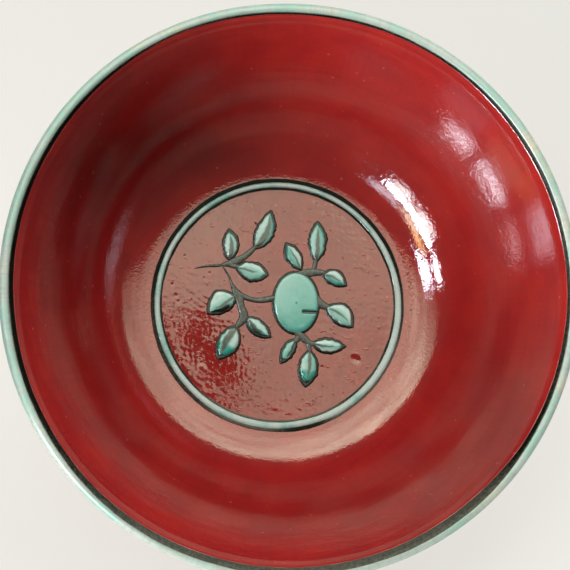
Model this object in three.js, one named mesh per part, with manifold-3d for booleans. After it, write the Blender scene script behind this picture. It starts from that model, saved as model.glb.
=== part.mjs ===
// Glazed porcelain cup, in millimetres, +Z up, standing on z = 0 with its axis on Z.
// A thrown bowl stands on a foot ring that is luted to it. Each coat of glaze or enamel on them is a
// solid of its own: red inside and out, turquoise bands edged with black lines, and in the well a
// fruiting branch that is drawn in dark slip and filled in with raised enamel.
import * as THREE from "three";
import { mergeVertices } from "three/addons/utils/BufferGeometryUtils.js";
import Module from "manifold-3d";

// Bowl
const rimRadius = 50;
const cupHeight = 45;
const lipThickness = 2.2;
const flareReach = 1; // how far the inside of the lip stands out from the wall
const flareHeight = 3.6; // from the top of the wall to the top of the lip
const flareAngle = 30; // degrees that the lip leans out
const wallThickness = 2.5;
const wallLean = 4; // how far in the wall leans on its way down to the heel
const heelRise = 9.5; // height over which the wall turns into the floor
const heelReach = 7; // width over which the floor turns into the wall
const shoulderThickness = 3.4; // clay and glaze at the turn, where the bowl is thickest
const floorThickness = 4;
const wellMargin = 0.45; // level floor outside the medallion

// Foot ring
const footHeight = 6;
const footTopRadius = 21.8;
const footTaper = 1; // how far the foot draws in on its way down
const footBottomRadius = footTopRadius - footTaper;
const footTopWall = 3.8;
const footBottomWall = 2.2;
const footEdge = 0.4; // bevel of the edge it stands on
const bareFoot = 0.9; // height of clay left unglazed

// Coats of glaze and enamel
const coat = 0.35;
const bandCoat = 0.5; // the ring in the well, which stands proud
const lineCoat = 0.3;
const bond = 0.05; // clearance between a coat and whatever it lies on or meets

// Bands and lines
const lipBandWidth = 1.55; // from the rim inwards, seen from above
const lipLineWidth = 0.7;
const lipBandDrop = 2.6; // how far down the outside the lip's band runs
const footLineWidth = 0.8;
const medallionRadius = 25.35; // to the outside of the ring's outer line
const outerLineWidth = 0.65;
const ringBandWidth = 1.05;
const innerLineWidth = 0.5;

// Fruiting branch in the well
const branchMargin = 4; // bare ground between the furthest leaf tip and the ring
const slipHeight = 0.2;
const slipBorder = 0.4; // slip left showing round each leaf and round the fruit
const enamelHeight = 0.34;
const enamelShoulder = 0.2; // height at which the edge of a pad of enamel rounds over
const shoulderShare = 0.94; // size of a pad there, as a share of its size at the bottom
const crownShare = 0.6; // and the same for its top

// Fruit: middle and half sizes of an ellipse, and the inner end of a cleft that runs in from its right
const fruit = { middle: [3.5, 0.2], radii: [4.9, 6.5], cleft: [4.6, -1.5] };
const cleftAngle = -20; // degrees about the middle of the fruit
const cleftSpread = 5;

// Leaves: base and tip on the floor, width on the left and right of the midrib, and place of the belly
const leaves = [
  { base: [-10.0, 8.4], tip: [-10.0, 15.2], left: 1.4, right: 2.2, belly: 0.5 },
  { base: [-4.9, 10.8], tip: [-1.4, 19.1], left: 1.5, right: 2.6, belly: 0.46 },
  { base: [-8.9, 7.3], tip: [-1.9, 5.7], left: 2.1, right: 2.2, belly: 0.56 },
  { base: [-8.3, 1.5], tip: [-14.4, -2.2], left: 1.9, right: 3.1, belly: 0.46 },
  { base: [-8.4, -4.2], tip: [-12.2, -11.3], left: 2.7, right: 2.0, belly: 0.5 },
  { base: [-6.8, -2.6], tip: [-1.4, -6.9], left: 1.6, right: 1.8, belly: 0.5 },
  { base: [4.7, 6.6], tip: [1.4, 12.5], left: 1.8, right: 1.7, belly: 0.54 },
  { base: [7.5, 8.2], tip: [7.9, 17.0], left: 1.8, right: 2.2, belly: 0.52 },
  { base: [8.6, 6.1], tip: [13.9, 3.6], left: 2.3, right: 1.3, belly: 0.48 },
  { base: [9.2, -0.4], tip: [15.1, -4.8], left: 3.0, right: 1.6, belly: 0.52 },
  { base: [6.5, -7.9], tip: [13.7, -8.5], left: 1.5, right: 1.9, belly: 0.48 },
  { base: [3.6, -6.8], tip: [0.3, -12.1], left: 1.4, right: 1.5, belly: 0.5 },
  { base: [6.2, -8.9], tip: [5.3, -16.8], left: 2.3, right: 2.0, belly: 0.52 },
];

// Twigs: [x, y, width] at points along each one
const twigs = [
  [[-17.0, 6.9, 0.25], [-14.2, 7.4, 0.45], [-11.4, 7.6, 0.7]],
  [[-11.9, 7.6, 0.5], [-9.2, 8.2, 1.4], [-6.6, 9.6, 1.1], [-4.2, 11.9, 0.9]],
  [[-10.4, 7.8, 0.9], [-7.6, 7.2, 1.0]],
  [[-11.3, 7.5, 0.4], [-9.9, 5.3, 0.4], [-9.3, 3.7, 0.6], [-8.3, 2.3, 1.0]],
  [[-9.5, 3.3, 0.6], [-8.1, 1.6, 1.6], [-7.5, -0.6, 1.3], [-7.0, -2.8, 1.6], [-8.7, -5.1, 1.1]],
  [[-7.9, 1.9, 1.2], [-5.8, 0.9, 0.9], [-3.4, 0.65, 1.0], [-0.2, 1.3, 1.3]],
  [[3.2, 6.0, 0.8], [5.6, 6.2, 1.5], [7.6, 6.4, 1.3], [9.6, 6.3, 1.0]],
  [[6.9, 6.3, 0.9], [7.4, 8.2, 0.9], [7.6, 9.8, 0.7]],
  [[7.5, 1.8, 1.0], [8.4, 0.1, 1.5], [10.4, -0.9, 1.1]],
  [[3.0, -5.5, 0.9], [4.6, -6.5, 1.4], [6.2, -7.8, 1.1], [7.8, -8.1, 0.9]],
  [[5.9, -7.4, 1.0], [6.3, -10.0, 0.8]],
  [[4.4, -6.2, 1.3], [3.1, -7.9, 0.9]],
];

// Smoothness
const turns = 48; // facets round the axis
const wallSteps = 7;
const flareSteps = 2;
const lipSteps = 2; // in each of the lip's three arcs
const leafSteps = 6; // along each side of a leaf
const fruitSteps = 24;
const twigSteps = 5; // along each twig

const red = new THREE.MeshStandardMaterial({ color: 0x9c1d1f, roughness: 0.18 });
const turquoise = new THREE.MeshStandardMaterial({ color: 0x9fcdbc, roughness: 0.15 });
const black = new THREE.MeshStandardMaterial({ color: 0x24241e, roughness: 0.25 });
const slip = new THREE.MeshStandardMaterial({ color: 0x4b5148, roughness: 0.3 });
const clearGlaze = new THREE.MeshStandardMaterial({ color: 0xdde4da, roughness: 0.12 });
const porcelain = new THREE.MeshStandardMaterial({ color: 0xe6e0d2, roughness: 0.6 });

const wasm = await Module();
wasm.setup();
const cup = new THREE.Group();

const wallTop = new THREE.Vector2(rimRadius - lipThickness - flareReach, cupHeight - flareHeight);
const floorLevel = footHeight + floorThickness;
const glazeBottom = footHeight - coat; // underside of the bowl outside its foot
const levelRadius = medallionRadius + wellMargin;
const lean = THREE.MathUtils.degToRad(flareAngle);

function add(group, name, geometry, material) {
  const mesh = new THREE.Mesh(geometry, material);
  mesh.name = name;
  group.add(mesh);
}

// Unit vector square to the way from a to b, on its right
function rightOf(a, b) {
  return new THREE.Vector2(b.y - a.y, a.x - b.x).normalize();
}

// Vector that carries a corner inwards by one unit of depth on both of its sides
function mitre(first, second) {
  return first.clone().add(second).divideScalar(1 + first.dot(second));
}

// Turns a closed outline, or one that runs from axis to axis, round Z
function turned(outline) {
  const closed = outline[0].x === 0 ? outline : [...outline, outline[0]];
  const points = THREE.ShapeUtils.isClockWise(outline) ? closed.toReversed() : closed;
  return new THREE.LatheGeometry(points, turns).rotateX(Math.PI / 2);
}

// Curve that leaves a in one direction and arrives at b in another
function easing(a, leaving, b, arriving) {
  const reach = a.distanceTo(b) / 3;
  const first = a.clone().addScaledVector(leaving.clone().normalize(), reach);
  const second = b.clone().addScaledVector(arriving.clone().normalize(), -reach);
  return new THREE.CubicBezierCurve(a, first, second, b);
}

// Floor and inside of the wall, from the axis up
function insideCurves() {
  const turnBottom = new THREE.Vector2(levelRadius, floorLevel);
  const turnOut = new THREE.Vector2(levelRadius + heelReach, floorLevel);
  const turnUp = new THREE.Vector2(wallTop.x - wallLean, floorLevel + heelRise);
  const level = new THREE.LineCurve(new THREE.Vector2(0, floorLevel), turnBottom);
  return [level, new THREE.CubicBezierCurve(turnBottom, turnOut, turnUp, wallTop)];
}

// Outside of the wall, from its top down to the foot
function outsideCurve() {
  const top = new THREE.Vector2(wallTop.x + wallThickness, wallTop.y);
  const turnHeight = floorLevel + heelRise - shoulderThickness / 2;
  const turnDown = new THREE.Vector2(wallTop.x - wallLean + shoulderThickness, turnHeight);
  const turnIn = new THREE.Vector2(levelRadius + heelReach + shoulderThickness, glazeBottom);
  const foot = new THREE.Vector2(footTopRadius + bond, glazeBottom);
  return new THREE.CubicBezierCurve(top, turnDown, turnIn, foot);
}

// Round over the lip, between two angles about its middle
function lipArc(start, end) {
  const round = lipThickness / 2;
  return new THREE.EllipseCurve(rimRadius - round, cupHeight - round, round, round, start, end, true);
}

// The glazed surface as one line of points, from the middle of the floor over the lip to the foot
function surfaceLine() {
  const [level, wall] = insideCurves();
  const lipIn = lipArc(Math.PI - lean, Math.PI / 2);
  const lipOver = lipArc(Math.PI / 2, 0);
  const lipUnder = lipArc(0, -lean);
  const outside = outsideCurve();
  const inFlare = easing(wall.v3, wall.getTangent(1), lipIn.getPoint(0), lipIn.getTangent(0));
  const outFlare = easing(lipUnder.getPoint(1), lipUnder.getTangent(1), outside.v0, outside.getTangent(0));
  const stretches = [
    [level, 1],
    [wall, wallSteps],
    [inFlare, flareSteps],
    [lipIn, lipSteps],
    [lipOver, lipSteps],
    [lipUnder, lipSteps],
    [outFlare, flareSteps],
    [outside, wallSteps],
  ];
  return stretches.flatMap(([curve, steps], i) => curve.getPoints(steps).slice(i ? 1 : 0));
}

// Each point of the surface with its distance along it and the vector that leads into the clay
function stopsOf(points) {
  let along = 0;
  return points.map((at, i) => {
    if (i) along += at.distanceTo(points[i - 1]);
    const next = points[i + 1] ? rightOf(at, points[i + 1]) : rightOf(points[i - 1], at);
    const last = i ? rightOf(points[i - 1], at) : next;
    return { at, along, into: mitre(last, next) };
  });
}

const stops = stopsOf(surfaceLine());
const wholeWay = stops.at(-1).along;

// Point that lies under the surface by a depth, at a distance along it
function under(along, depth) {
  const i = Math.max(1, stops.findIndex((stop) => stop.along >= along));
  const [a, b] = [stops[i - 1], stops[i]];
  const share = (along - a.along) / (b.along - a.along);
  const into = a.into.clone().lerp(b.into, share);
  return a.at.clone().lerp(b.at, share).addScaledVector(into, depth);
}

// Distance along the surface at which its radius, or its height past the lip, first reaches a value
function alongTo(axis, value, from = 0) {
  const i = stops.findIndex((b, n) => {
    const a = stops[n - 1];
    return n > 0 && a.along >= from && (a.at[axis] - value) * (b.at[axis] - value) <= 0;
  });
  const [a, b] = [stops[i - 1], stops[i]];
  return a.along + ((b.along - a.along) * (value - a.at[axis])) / (b.at[axis] - a.at[axis]);
}

// A coat that lies on the clay between two distances along the surface
function coatBetween(start, end, thickness) {
  const first = start === 0 ? 0 : start + bond / 2;
  const last = end === wholeWay ? end : end - bond / 2;
  const between = stops.map((stop) => stop.along).filter((along) => along > first && along < last);
  const way = [first, ...between, last];
  const face = way.map((along) => under(along, coat - thickness));
  const back = way.map((along) => under(along, coat - bond));
  return turned([...back, ...face.toReversed()]);
}

// Thrown bowl, under all its coats
const clay = stops.map((stop) => under(stop.along, coat));
add(cup, "porcelain_body", turned([...clay, new THREE.Vector2(0, footHeight)]), porcelain);

// Foot ring
const footTop = footHeight - bond;

function footOutside(height) {
  const share = (height - footEdge) / (footTop - footEdge);
  return THREE.MathUtils.lerp(footBottomRadius, footTopRadius, share);
}

function footInside(height) {
  const share = (height - footEdge) / (footTop - footEdge);
  return THREE.MathUtils.lerp(footBottomRadius - footBottomWall, footTopRadius - footTopWall, share);
}

const footOutline = [
  new THREE.Vector2(footBottomRadius - footEdge, 0),
  new THREE.Vector2(footOutside(footEdge), footEdge),
  new THREE.Vector2(footOutside(footTop), footTop),
  new THREE.Vector2(footInside(footTop), footTop),
  new THREE.Vector2(footInside(footEdge), footEdge),
  new THREE.Vector2(footInside(footEdge) + footEdge, 0),
];
add(cup, "foot_ring", turned(footOutline), porcelain);

// Bands and lines on the outside of the foot ring
function footCoat(top, bottom, thickness) {
  return turned([
    new THREE.Vector2(footOutside(top) + bond, top),
    new THREE.Vector2(footOutside(top) + thickness, top),
    new THREE.Vector2(footOutside(bottom) + thickness, bottom),
    new THREE.Vector2(footOutside(bottom) + bond, bottom),
  ]);
}

const footLineTop = glazeBottom - bond;
const footLineBottom = footLineTop - footLineWidth;
add(cup, "foot_line", footCoat(footLineTop, footLineBottom, lineCoat), black);
add(cup, "foot_band", footCoat(footLineBottom - bond, bareFoot, coat), turquoise);

// Clear glaze over the recess inside the foot ring
const recessGlaze = [
  new THREE.Vector2(0, footTop),
  new THREE.Vector2(footInside(footTop) - bond, footTop),
  new THREE.Vector2(footInside(bareFoot) - bond, bareFoot),
  new THREE.Vector2(footInside(bareFoot) - coat, bareFoot),
  new THREE.Vector2(footInside(glazeBottom) - coat, glazeBottom),
  new THREE.Vector2(0, glazeBottom),
];
add(cup, "base_glaze", turned(recessGlaze), clearGlaze);

// Medallion, its ring and the red ground, from the middle of the floor outwards
const outerLineStart = medallionRadius - outerLineWidth;
const ringBandStart = outerLineStart - ringBandWidth;
const innerLineStart = ringBandStart - innerLineWidth;
const lipBandStart = alongTo("x", rimRadius - lipBandWidth);
const lipLineStart = alongTo("x", rimRadius - lipBandWidth - lipLineWidth);
add(cup, "red_ground_medallion", coatBetween(0, innerLineStart, coat), red);
add(cup, "ring_line_inner", coatBetween(innerLineStart, ringBandStart, lineCoat), black);
add(cup, "ring_band", coatBetween(ringBandStart, outerLineStart, bandCoat), turquoise);
add(cup, "ring_line_outer", coatBetween(outerLineStart, medallionRadius, lineCoat), black);
add(cup, "red_ground_inside", coatBetween(medallionRadius, lipLineStart, coat), red);

// Lip and outside
const lipTop = stops.reduce((highest, stop) => (stop.at.y > highest.at.y ? stop : highest)).along;
const lipBandEnd = alongTo("y", cupHeight - lipBandDrop, lipTop);
const outsideStart = lipBandEnd + lipLineWidth;
add(cup, "lip_line_inside", coatBetween(lipLineStart, lipBandStart, lineCoat), black);
add(cup, "lip_band", coatBetween(lipBandStart, lipBandEnd, coat), turquoise);
add(cup, "lip_line_outside", coatBetween(lipBandEnd, outsideStart, lineCoat), black);
add(cup, "red_ground_outside", coatBetween(outsideStart, wholeWay, coat), red);

// Fruiting branch, drawn to fill the medallion up to its margin
const branch = new THREE.Group();
branch.position.z = floorLevel + bond;
cup.add(branch);
const furthest = Math.max(...leaves.map((leaf) => Math.hypot(...leaf.tip)));
const branchScale = (innerLineStart - branchMargin) / furthest;

function drawn(x, y) {
  return new THREE.Vector2(x, y).multiplyScalar(branchScale);
}

// A closed outline moved outwards all round, or inwards where by is negative
function grown(outline, by) {
  return outline.map((point, i) => {
    const last = outline.at(i - 1);
    const next = outline[(i + 1) % outline.length];
    return point.clone().addScaledVector(mitre(rightOf(last, point), rightOf(point, next)), by);
  });
}

// Almond outline, anticlockwise from the leaf's base: up its right side and down its left
function leafOutline({ base, tip, left, right, belly }) {
  const [start, end] = [drawn(...base), drawn(...tip)];
  const length = end.clone().sub(start);
  const side = rightOf(start, end).multiplyScalar(branchScale);
  const lowHandle = belly - 0.25;
  const highHandle = belly + 0.22;
  const handle = (share, width) => {
    return start.clone().addScaledVector(length, share).addScaledVector(side, (width * 4) / 3);
  };
  const up = new THREE.CubicBezierCurve(start, handle(lowHandle, right), handle(highHandle, right), end);
  const down = new THREE.CubicBezierCurve(end, handle(highHandle, -left), handle(lowHandle, -left), start);
  return [...up.getPoints(leafSteps).slice(0, -1), ...down.getPoints(leafSteps).slice(0, -1)];
}

// Ellipse, anticlockwise from one side of the cleft to the other, drawn in by an inset
function fruitOutline(inset) {
  const radians = THREE.MathUtils.degToRad;
  const start = radians(cleftAngle + cleftSpread);
  const end = radians(cleftAngle + 360 - cleftSpread);
  const [rx, ry] = fruit.radii.map((radius) => radius * branchScale - inset);
  const centre = drawn(...fruit.middle);
  return new THREE.EllipseCurve(centre.x, centre.y, rx, ry, start, end).getPoints(fruitSteps);
}

// A raised pad of enamel: its side draws in up to a shoulder, and its top is a shallow dome
function pad(outline) {
  const middle = outline.reduce((sum, point) => sum.add(point), new THREE.Vector2());
  middle.divideScalar(outline.length);
  const sized = (share) => outline.map((point) => middle.clone().lerp(point, share));
  const rings = [
    [outline, 0],
    [sized(shoulderShare), enamelShoulder],
    [sized(crownShare), enamelHeight],
  ];
  const count = outline.length;
  const places = rings.flatMap(([points, z]) => points.flatMap((point) => [point.x, point.y, z]));
  const faces = [];
  for (let ring = 0; ring + 1 < rings.length; ring++) {
    for (let i = 0; i < count; i++) {
      const j = (i + 1) % count;
      const [a, b] = [ring * count + i, ring * count + j];
      faces.push(a, b, b + count, a, b + count, a + count);
    }
  }
  const lid = (rings.length - 1) * count;
  THREE.ShapeUtils.triangulateShape(outline, []).forEach(([a, b, c]) => faces.push(a, c, b));
  THREE.ShapeUtils.triangulateShape(rings.at(-1)[0], []).forEach(([a, b, c]) => {
    faces.push(lid + a, lid + b, lid + c);
  });
  const geometry = new THREE.BufferGeometry();
  geometry.setAttribute("position", new THREE.Float32BufferAttribute(places, 3));
  geometry.setIndex(faces);
  geometry.computeVertexNormals();
  return geometry;
}

// A flat piece of slip with this outline, as a solid that can be joined to others
function slipPiece(outline) {
  const settings = { depth: slipHeight, bevelEnabled: false };
  const plate = new THREE.ExtrudeGeometry(new THREE.Shape(outline), settings);
  plate.deleteAttribute("normal");
  plate.deleteAttribute("uv");
  const merged = mergeVertices(plate, 1e-4);
  const vertProperties = merged.attributes.position.array;
  return new wasm.Manifold(new wasm.Mesh({ numProp: 3, vertProperties, triVerts: merged.index.array }));
}

// Brush stroke through a twig's points, whose width rides on the curve as its third value
function twigOutline(points) {
  const stroke = new THREE.CatmullRomCurve3(points.map(([x, y, width]) => new THREE.Vector3(x, y, width)));
  const middle = stroke.getPoints(twigSteps);
  const side = (i, sign) => {
    const last = middle[Math.max(i - 1, 0)];
    const next = middle[Math.min(i + 1, twigSteps)];
    const { x, y, z: width } = middle[i];
    return drawn(x, y).addScaledVector(rightOf(last, next), (sign * width * branchScale) / 2);
  };
  const right = middle.map((_, i) => side(i, 1));
  const left = middle.map((_, i) => side(i, -1));
  return [...right, ...left.toReversed()];
}

const leafOutlines = leaves.map(leafOutline);
const outlines = [...leafOutlines, fruitOutline(0), ...twigs.map(twigOutline)];
const drawing = outlines.map(slipPiece).reduce((all, piece) => all.add(piece));
const drawingMesh = drawing.getMesh();
const drawingGeometry = new THREE.BufferGeometry();
drawingGeometry.setAttribute("position", new THREE.BufferAttribute(drawingMesh.vertProperties, 3));
drawingGeometry.setIndex(new THREE.BufferAttribute(drawingMesh.triVerts, 1));
drawingGeometry.computeVertexNormals();
add(branch, "branch_drawing", drawingGeometry, slip);

// Enamel over the drawing
const enamel = new THREE.Group();
enamel.position.z = slipHeight + bond;
branch.add(enamel);
leafOutlines.forEach((outline, i) => {
  const number = String(i + 1).padStart(2, "0");
  add(enamel, `leaf_${number}`, pad(grown(outline, -slipBorder)), turquoise);
});
add(enamel, "fruit", pad([...fruitOutline(slipBorder), drawn(...fruit.cleft)]), turquoise);

export default cup;
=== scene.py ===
import bpy
import numpy as np
from mathutils import Matrix, Vector


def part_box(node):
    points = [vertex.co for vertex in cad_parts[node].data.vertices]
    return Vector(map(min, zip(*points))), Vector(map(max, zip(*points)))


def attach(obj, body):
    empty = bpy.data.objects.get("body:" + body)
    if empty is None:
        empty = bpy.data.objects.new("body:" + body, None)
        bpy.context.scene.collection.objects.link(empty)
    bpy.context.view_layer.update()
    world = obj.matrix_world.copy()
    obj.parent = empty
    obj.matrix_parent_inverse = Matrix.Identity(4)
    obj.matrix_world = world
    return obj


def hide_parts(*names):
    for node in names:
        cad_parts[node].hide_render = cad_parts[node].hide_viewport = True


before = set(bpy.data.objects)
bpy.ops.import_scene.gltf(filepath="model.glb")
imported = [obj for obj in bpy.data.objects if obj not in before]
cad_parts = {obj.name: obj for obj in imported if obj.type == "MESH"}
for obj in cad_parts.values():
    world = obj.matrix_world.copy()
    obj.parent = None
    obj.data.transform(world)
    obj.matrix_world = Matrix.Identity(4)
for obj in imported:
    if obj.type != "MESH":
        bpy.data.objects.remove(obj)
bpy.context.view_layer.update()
mm = 0.001  # Blender works in metres, the sizes below are millimetres
print("frame loaded with", len(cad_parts), "nodes")


def corners(node):
    # lowest and highest corner of a node, in millimetres
    low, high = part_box(node)
    return np.array(low) / mm, np.array(high) / mm


coats = dict(
    thickness=0.35,  # glaze and enamel on the clay
    bond=0.05,       # clearance that neighbouring coats keep in the frame
    buried=0.3,      # how deep the back of a coat lies under the glazed surface
)
halfBond = coats["bond"] / 2
# sizes that the frame gives
rimRadius = corners("lip_band")[1][0]
cupHeight = corners("lip_band")[1][2]
floorLevel = corners("red_ground_medallion")[1][2]
ringStart = corners("red_ground_medallion")[1][0] + halfBond
ringEnd = corners("ring_line_outer")[1][0] + halfBond
footTop = corners("foot_ring")[1][2]
footTopRadius = corners("foot_ring")[1][0]
footLineTop = corners("foot_line")[1][2]
footLineBottom = corners("foot_line")[0][2]
footBandBottom = corners("foot_band")[0][2]
footHeight = footTop + coats["bond"]


def gridFaces(rows, columns, closeRows):
    # four-cornered faces of a grid whose columns run round and meet; closeRows joins the last row to the
    # first
    row = np.arange(rows if closeRows else rows - 1)[:, None]
    column = np.arange(columns)[None, :]
    after = (row + 1) % rows
    beside = (column + 1) % columns
    here = row * columns
    there = after * columns
    corner = [here + column, here + beside, there + beside, there + column]
    return np.stack(np.broadcast_arrays(*corner), -1).reshape(-1, 4)


def fanFaces(pole, first, columns):
    # three-cornered faces between a pole and a row of the grid
    column = np.arange(columns)
    return np.stack([np.full(columns, pole), first + column, first + (column + 1) % columns], -1)


def closedBody(rings, poles=None):
    # rings of points become a body: a tube closed on itself, or one with a pole before the first and after
    # the last
    rows, columns = rings.shape[:2]
    points = rings.reshape(-1, 3)
    if poles is None:
        return points, [gridFaces(rows, columns, True)]
    count = rows * columns
    points = np.concatenate([points, np.array(poles, float)])
    start = fanFaces(count, 0, columns)
    end = fanFaces(count + 1, (rows - 1) * columns, columns)[:, ::-1]
    return points, [gridFaces(rows, columns, False)[:, ::-1], start[:, ::-1], end[:, ::-1]]


def signedVolume(points, groups):
    # sum over the triangles of the faces of a . (b x c) / 6, which is positive where faces point out
    total = 0.0
    for faces in groups:
        for k in range(1, faces.shape[1] - 1):
            a, b, c = points[faces[:, 0]], points[faces[:, k]], points[faces[:, k + 1]]
            total += np.einsum("ij,ij->", a, np.cross(b, c)) / 6
    return total


def joined(bodies):
    # several bodies and their values at each point become one
    points, groups, values, start = [], [], {}, 0
    for body, faces, marks in bodies:
        flip = signedVolume(body, faces) < 0
        groups += [(f[:, ::-1] if flip else f) + start for f in faces]
        points.append(body)
        for key, value in marks.items():
            values.setdefault(key, []).append(value)
        start += len(body)
    return np.concatenate(points), groups, {key: np.concatenate(value) for key, value in values.items()}


def addPiece(name, bodies, material, node):
    # a mesh object at the origin, with its place in its points, standing for one node of the frame
    points, groups, values = joined(bodies)
    mesh = bpy.data.meshes.new(name)
    corner = np.concatenate([g.ravel() for g in groups])
    sizes = np.concatenate([np.full(len(g), g.shape[1]) for g in groups])
    mesh.vertices.add(len(points))
    mesh.vertices.foreach_set("co", (points * mm).ravel())
    mesh.loops.add(len(corner))
    mesh.loops.foreach_set("vertex_index", corner)
    mesh.polygons.add(len(sizes))
    mesh.polygons.foreach_set("loop_start", np.concatenate([[0], np.cumsum(sizes)[:-1]]))
    mesh.polygons.foreach_set("use_smooth", np.ones(len(sizes), bool))
    mesh.update(calc_edges=True)
    for key, value in values.items():
        mesh.attributes.new(key, "FLOAT", "POINT").data.foreach_set("value", value.astype(np.float32))
    mesh.materials.append(material)
    piece = bpy.data.objects.new(name, mesh)
    bpy.context.scene.collection.objects.link(piece)
    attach(piece, "root")
    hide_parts(node)


sCurve = dict(interpolation_type="SMOOTHSTEP")  # a Map Range node that follows an S curve
asColour = dict(data_type="RGBA")               # a Mix node of colours: inputs 6 and 7, output 2


def colourOf(code):
    # an sRGB hex colour as linear red, green, blue and alpha
    value = np.array([int(code[i:i + 2], 16) for i in (1, 3, 5)]) / 255
    linear = np.where(value <= 0.04045, value / 12.92, ((value + 0.055) / 1.055) ** 2.4)
    return (*linear, 1.0)


def addNode(tree, kind, inputs=(), output=0, **settings):
    # one node with its settings. Its inputs come by name or in order, each a value, a hex colour, or the
    # output of another node, which is linked; one of its own outputs is handed back
    node = tree.nodes.new("ShaderNode" + kind)
    for key, value in settings.items():
        setattr(node, key, value)
    for key, value in inputs.items() if isinstance(inputs, dict) else enumerate(inputs):
        if isinstance(value, bpy.types.NodeSocket):
            tree.links.new(value, node.inputs[key])
        else:
            node.inputs[key].default_value = colourOf(value) if isinstance(value, str) else value
    return node.outputs[output] if node.outputs else None


def startMaterial(name):
    # an empty material, and Object coordinates turned to millimetres
    material = bpy.data.materials.new(name)
    material.use_nodes = True
    tree = material.node_tree
    tree.nodes.clear()
    place = addNode(tree, "TexCoord", output="Object")
    return material, tree, addNode(tree, "Mapping", {"Vector": place, "Scale": (1 / mm,) * 3})


def endMaterial(tree, look, colour, uneven, layers):
    # the shader: roughness between the look's two as an uneven value goes from 0.3 to 0.7, and one bump
    # laid on another, each a height from 0 to 1 and the millimetres that 1 stands for
    inputs = {"Base Color": colour, "IOR": look["ior"]}
    inputs["Roughness"] = addNode(tree, "MapRange", [uneven, 0.3, 0.7, *look["roughness"]], **sCurve)
    for height, depth in layers:
        bump = {"Height": height, "Distance": depth * mm, "Strength": 1.0}
        if "Normal" in inputs:
            bump["Normal"] = inputs["Normal"]
        inputs["Normal"] = addNode(tree, "Bump", bump)
    addNode(tree, "OutputMaterial", {"Surface": addNode(tree, "BsdfPrincipled", inputs)})


def laid(tree, colour, tint, value, low, high, most=1.0):
    # a tint laid over a colour: none of it where a value is below low, most of it above high, along an S
    # curve
    share = addNode(tree, "MapRange", [value, low, high, 0.0, most], **sCurve)
    return addNode(tree, "Mix", {0: share, 6: colour, 7: tint}, 2, **asColour)


def specksIn(tree, place, spacing, size, patch, limits):
    # 1 in small round specks, one to a cell of the spacing, which fade from the first size to the second,
    # and only where a noise with patches of some millimetres rises between its limits
    cells = addNode(tree, "TexVoronoi", {"Vector": place, "Scale": 1 / spacing})
    speck = addNode(tree, "MapRange", [cells, *size, 1.0, 0.0], **sCurve)
    some = addNode(tree, "TexNoise", {"Vector": place, "Scale": 1 / patch})
    some = addNode(tree, "MapRange", [some, *limits], **sCurve)
    return addNode(tree, "Math", [speck, some], operation="MULTIPLY")


def roundTheAxis(tree, place, stretch):
    # coordinates whose patterns run round the cup: radius and height as they are, the way round drawn out
    flat = addNode(tree, "VectorMath", [place, (1, 1, 0)], operation="MULTIPLY")
    radius = addNode(tree, "VectorMath", [flat], "Value", operation="LENGTH")
    unit = addNode(tree, "VectorMath", [flat], operation="NORMALIZE")
    turned = addNode(tree, "VectorMath", {0: unit, "Scale": stretch}, operation="SCALE")
    rise = addNode(tree, "Math", [radius, addNode(tree, "SeparateXYZ", [place], "Z")], operation="ADD")
    column = addNode(tree, "CombineXYZ", [rise, rise, radius])
    return addNode(tree, "VectorMath", [column, turned], operation="ADD")


def fromLipDown(tree, place):
    # coordinates whose patterns run from the lip to the middle: the way round, taken at the rim, and
    # hardly more
    flat = addNode(tree, "VectorMath", [place, (1, 1, 0)], operation="MULTIPLY")
    unit = addNode(tree, "VectorMath", [flat], operation="NORMALIZE")
    onRim = addNode(tree, "VectorMath", {0: unit, "Scale": float(rimRadius)}, operation="SCALE")
    little = addNode(tree, "VectorMath", {0: place, "Scale": 0.08}, operation="SCALE")
    return addNode(tree, "VectorMath", [onRim, little], operation="ADD")


redLook = dict(
    light="#9C2521", body="#902020", thin="#7E1C1A", pit="#B0483F",
    mottle=9.0,          # mm across the cloudy patches
    brush=1.8,           # mm across a brush mark
    streak=9.0,          # how far a brush mark is drawn out round the cup
    brushing=0.25,       # how strongly the brush marks show
    run=0.9,             # mm between the runs that lead from the lip down
    running=0.22,        # how strongly they show
    peel=(1.0, 0.022),   # orange peel: mm across, mm deep
    fine=(0.45, 0.022),  # the enamel's own grain: mm across, mm deep
    fleck=None,          # bristle marks: mm across, mm deep
    pitSpacing=2.6, pitSize=(0.042, 0.14), pitDepth=0.012,
    roughness=(0.045, 0.085),
    ior=1.52,
)
wellLook = dict(
    redLook, light="#90241F", body="#84201C", peel=(0.9, 0.005), fine=(0.4, 0.005), fleck=(0.8, 0.03),
    brushing=0.8, roughness=(0.04, 0.065),
)


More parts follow.
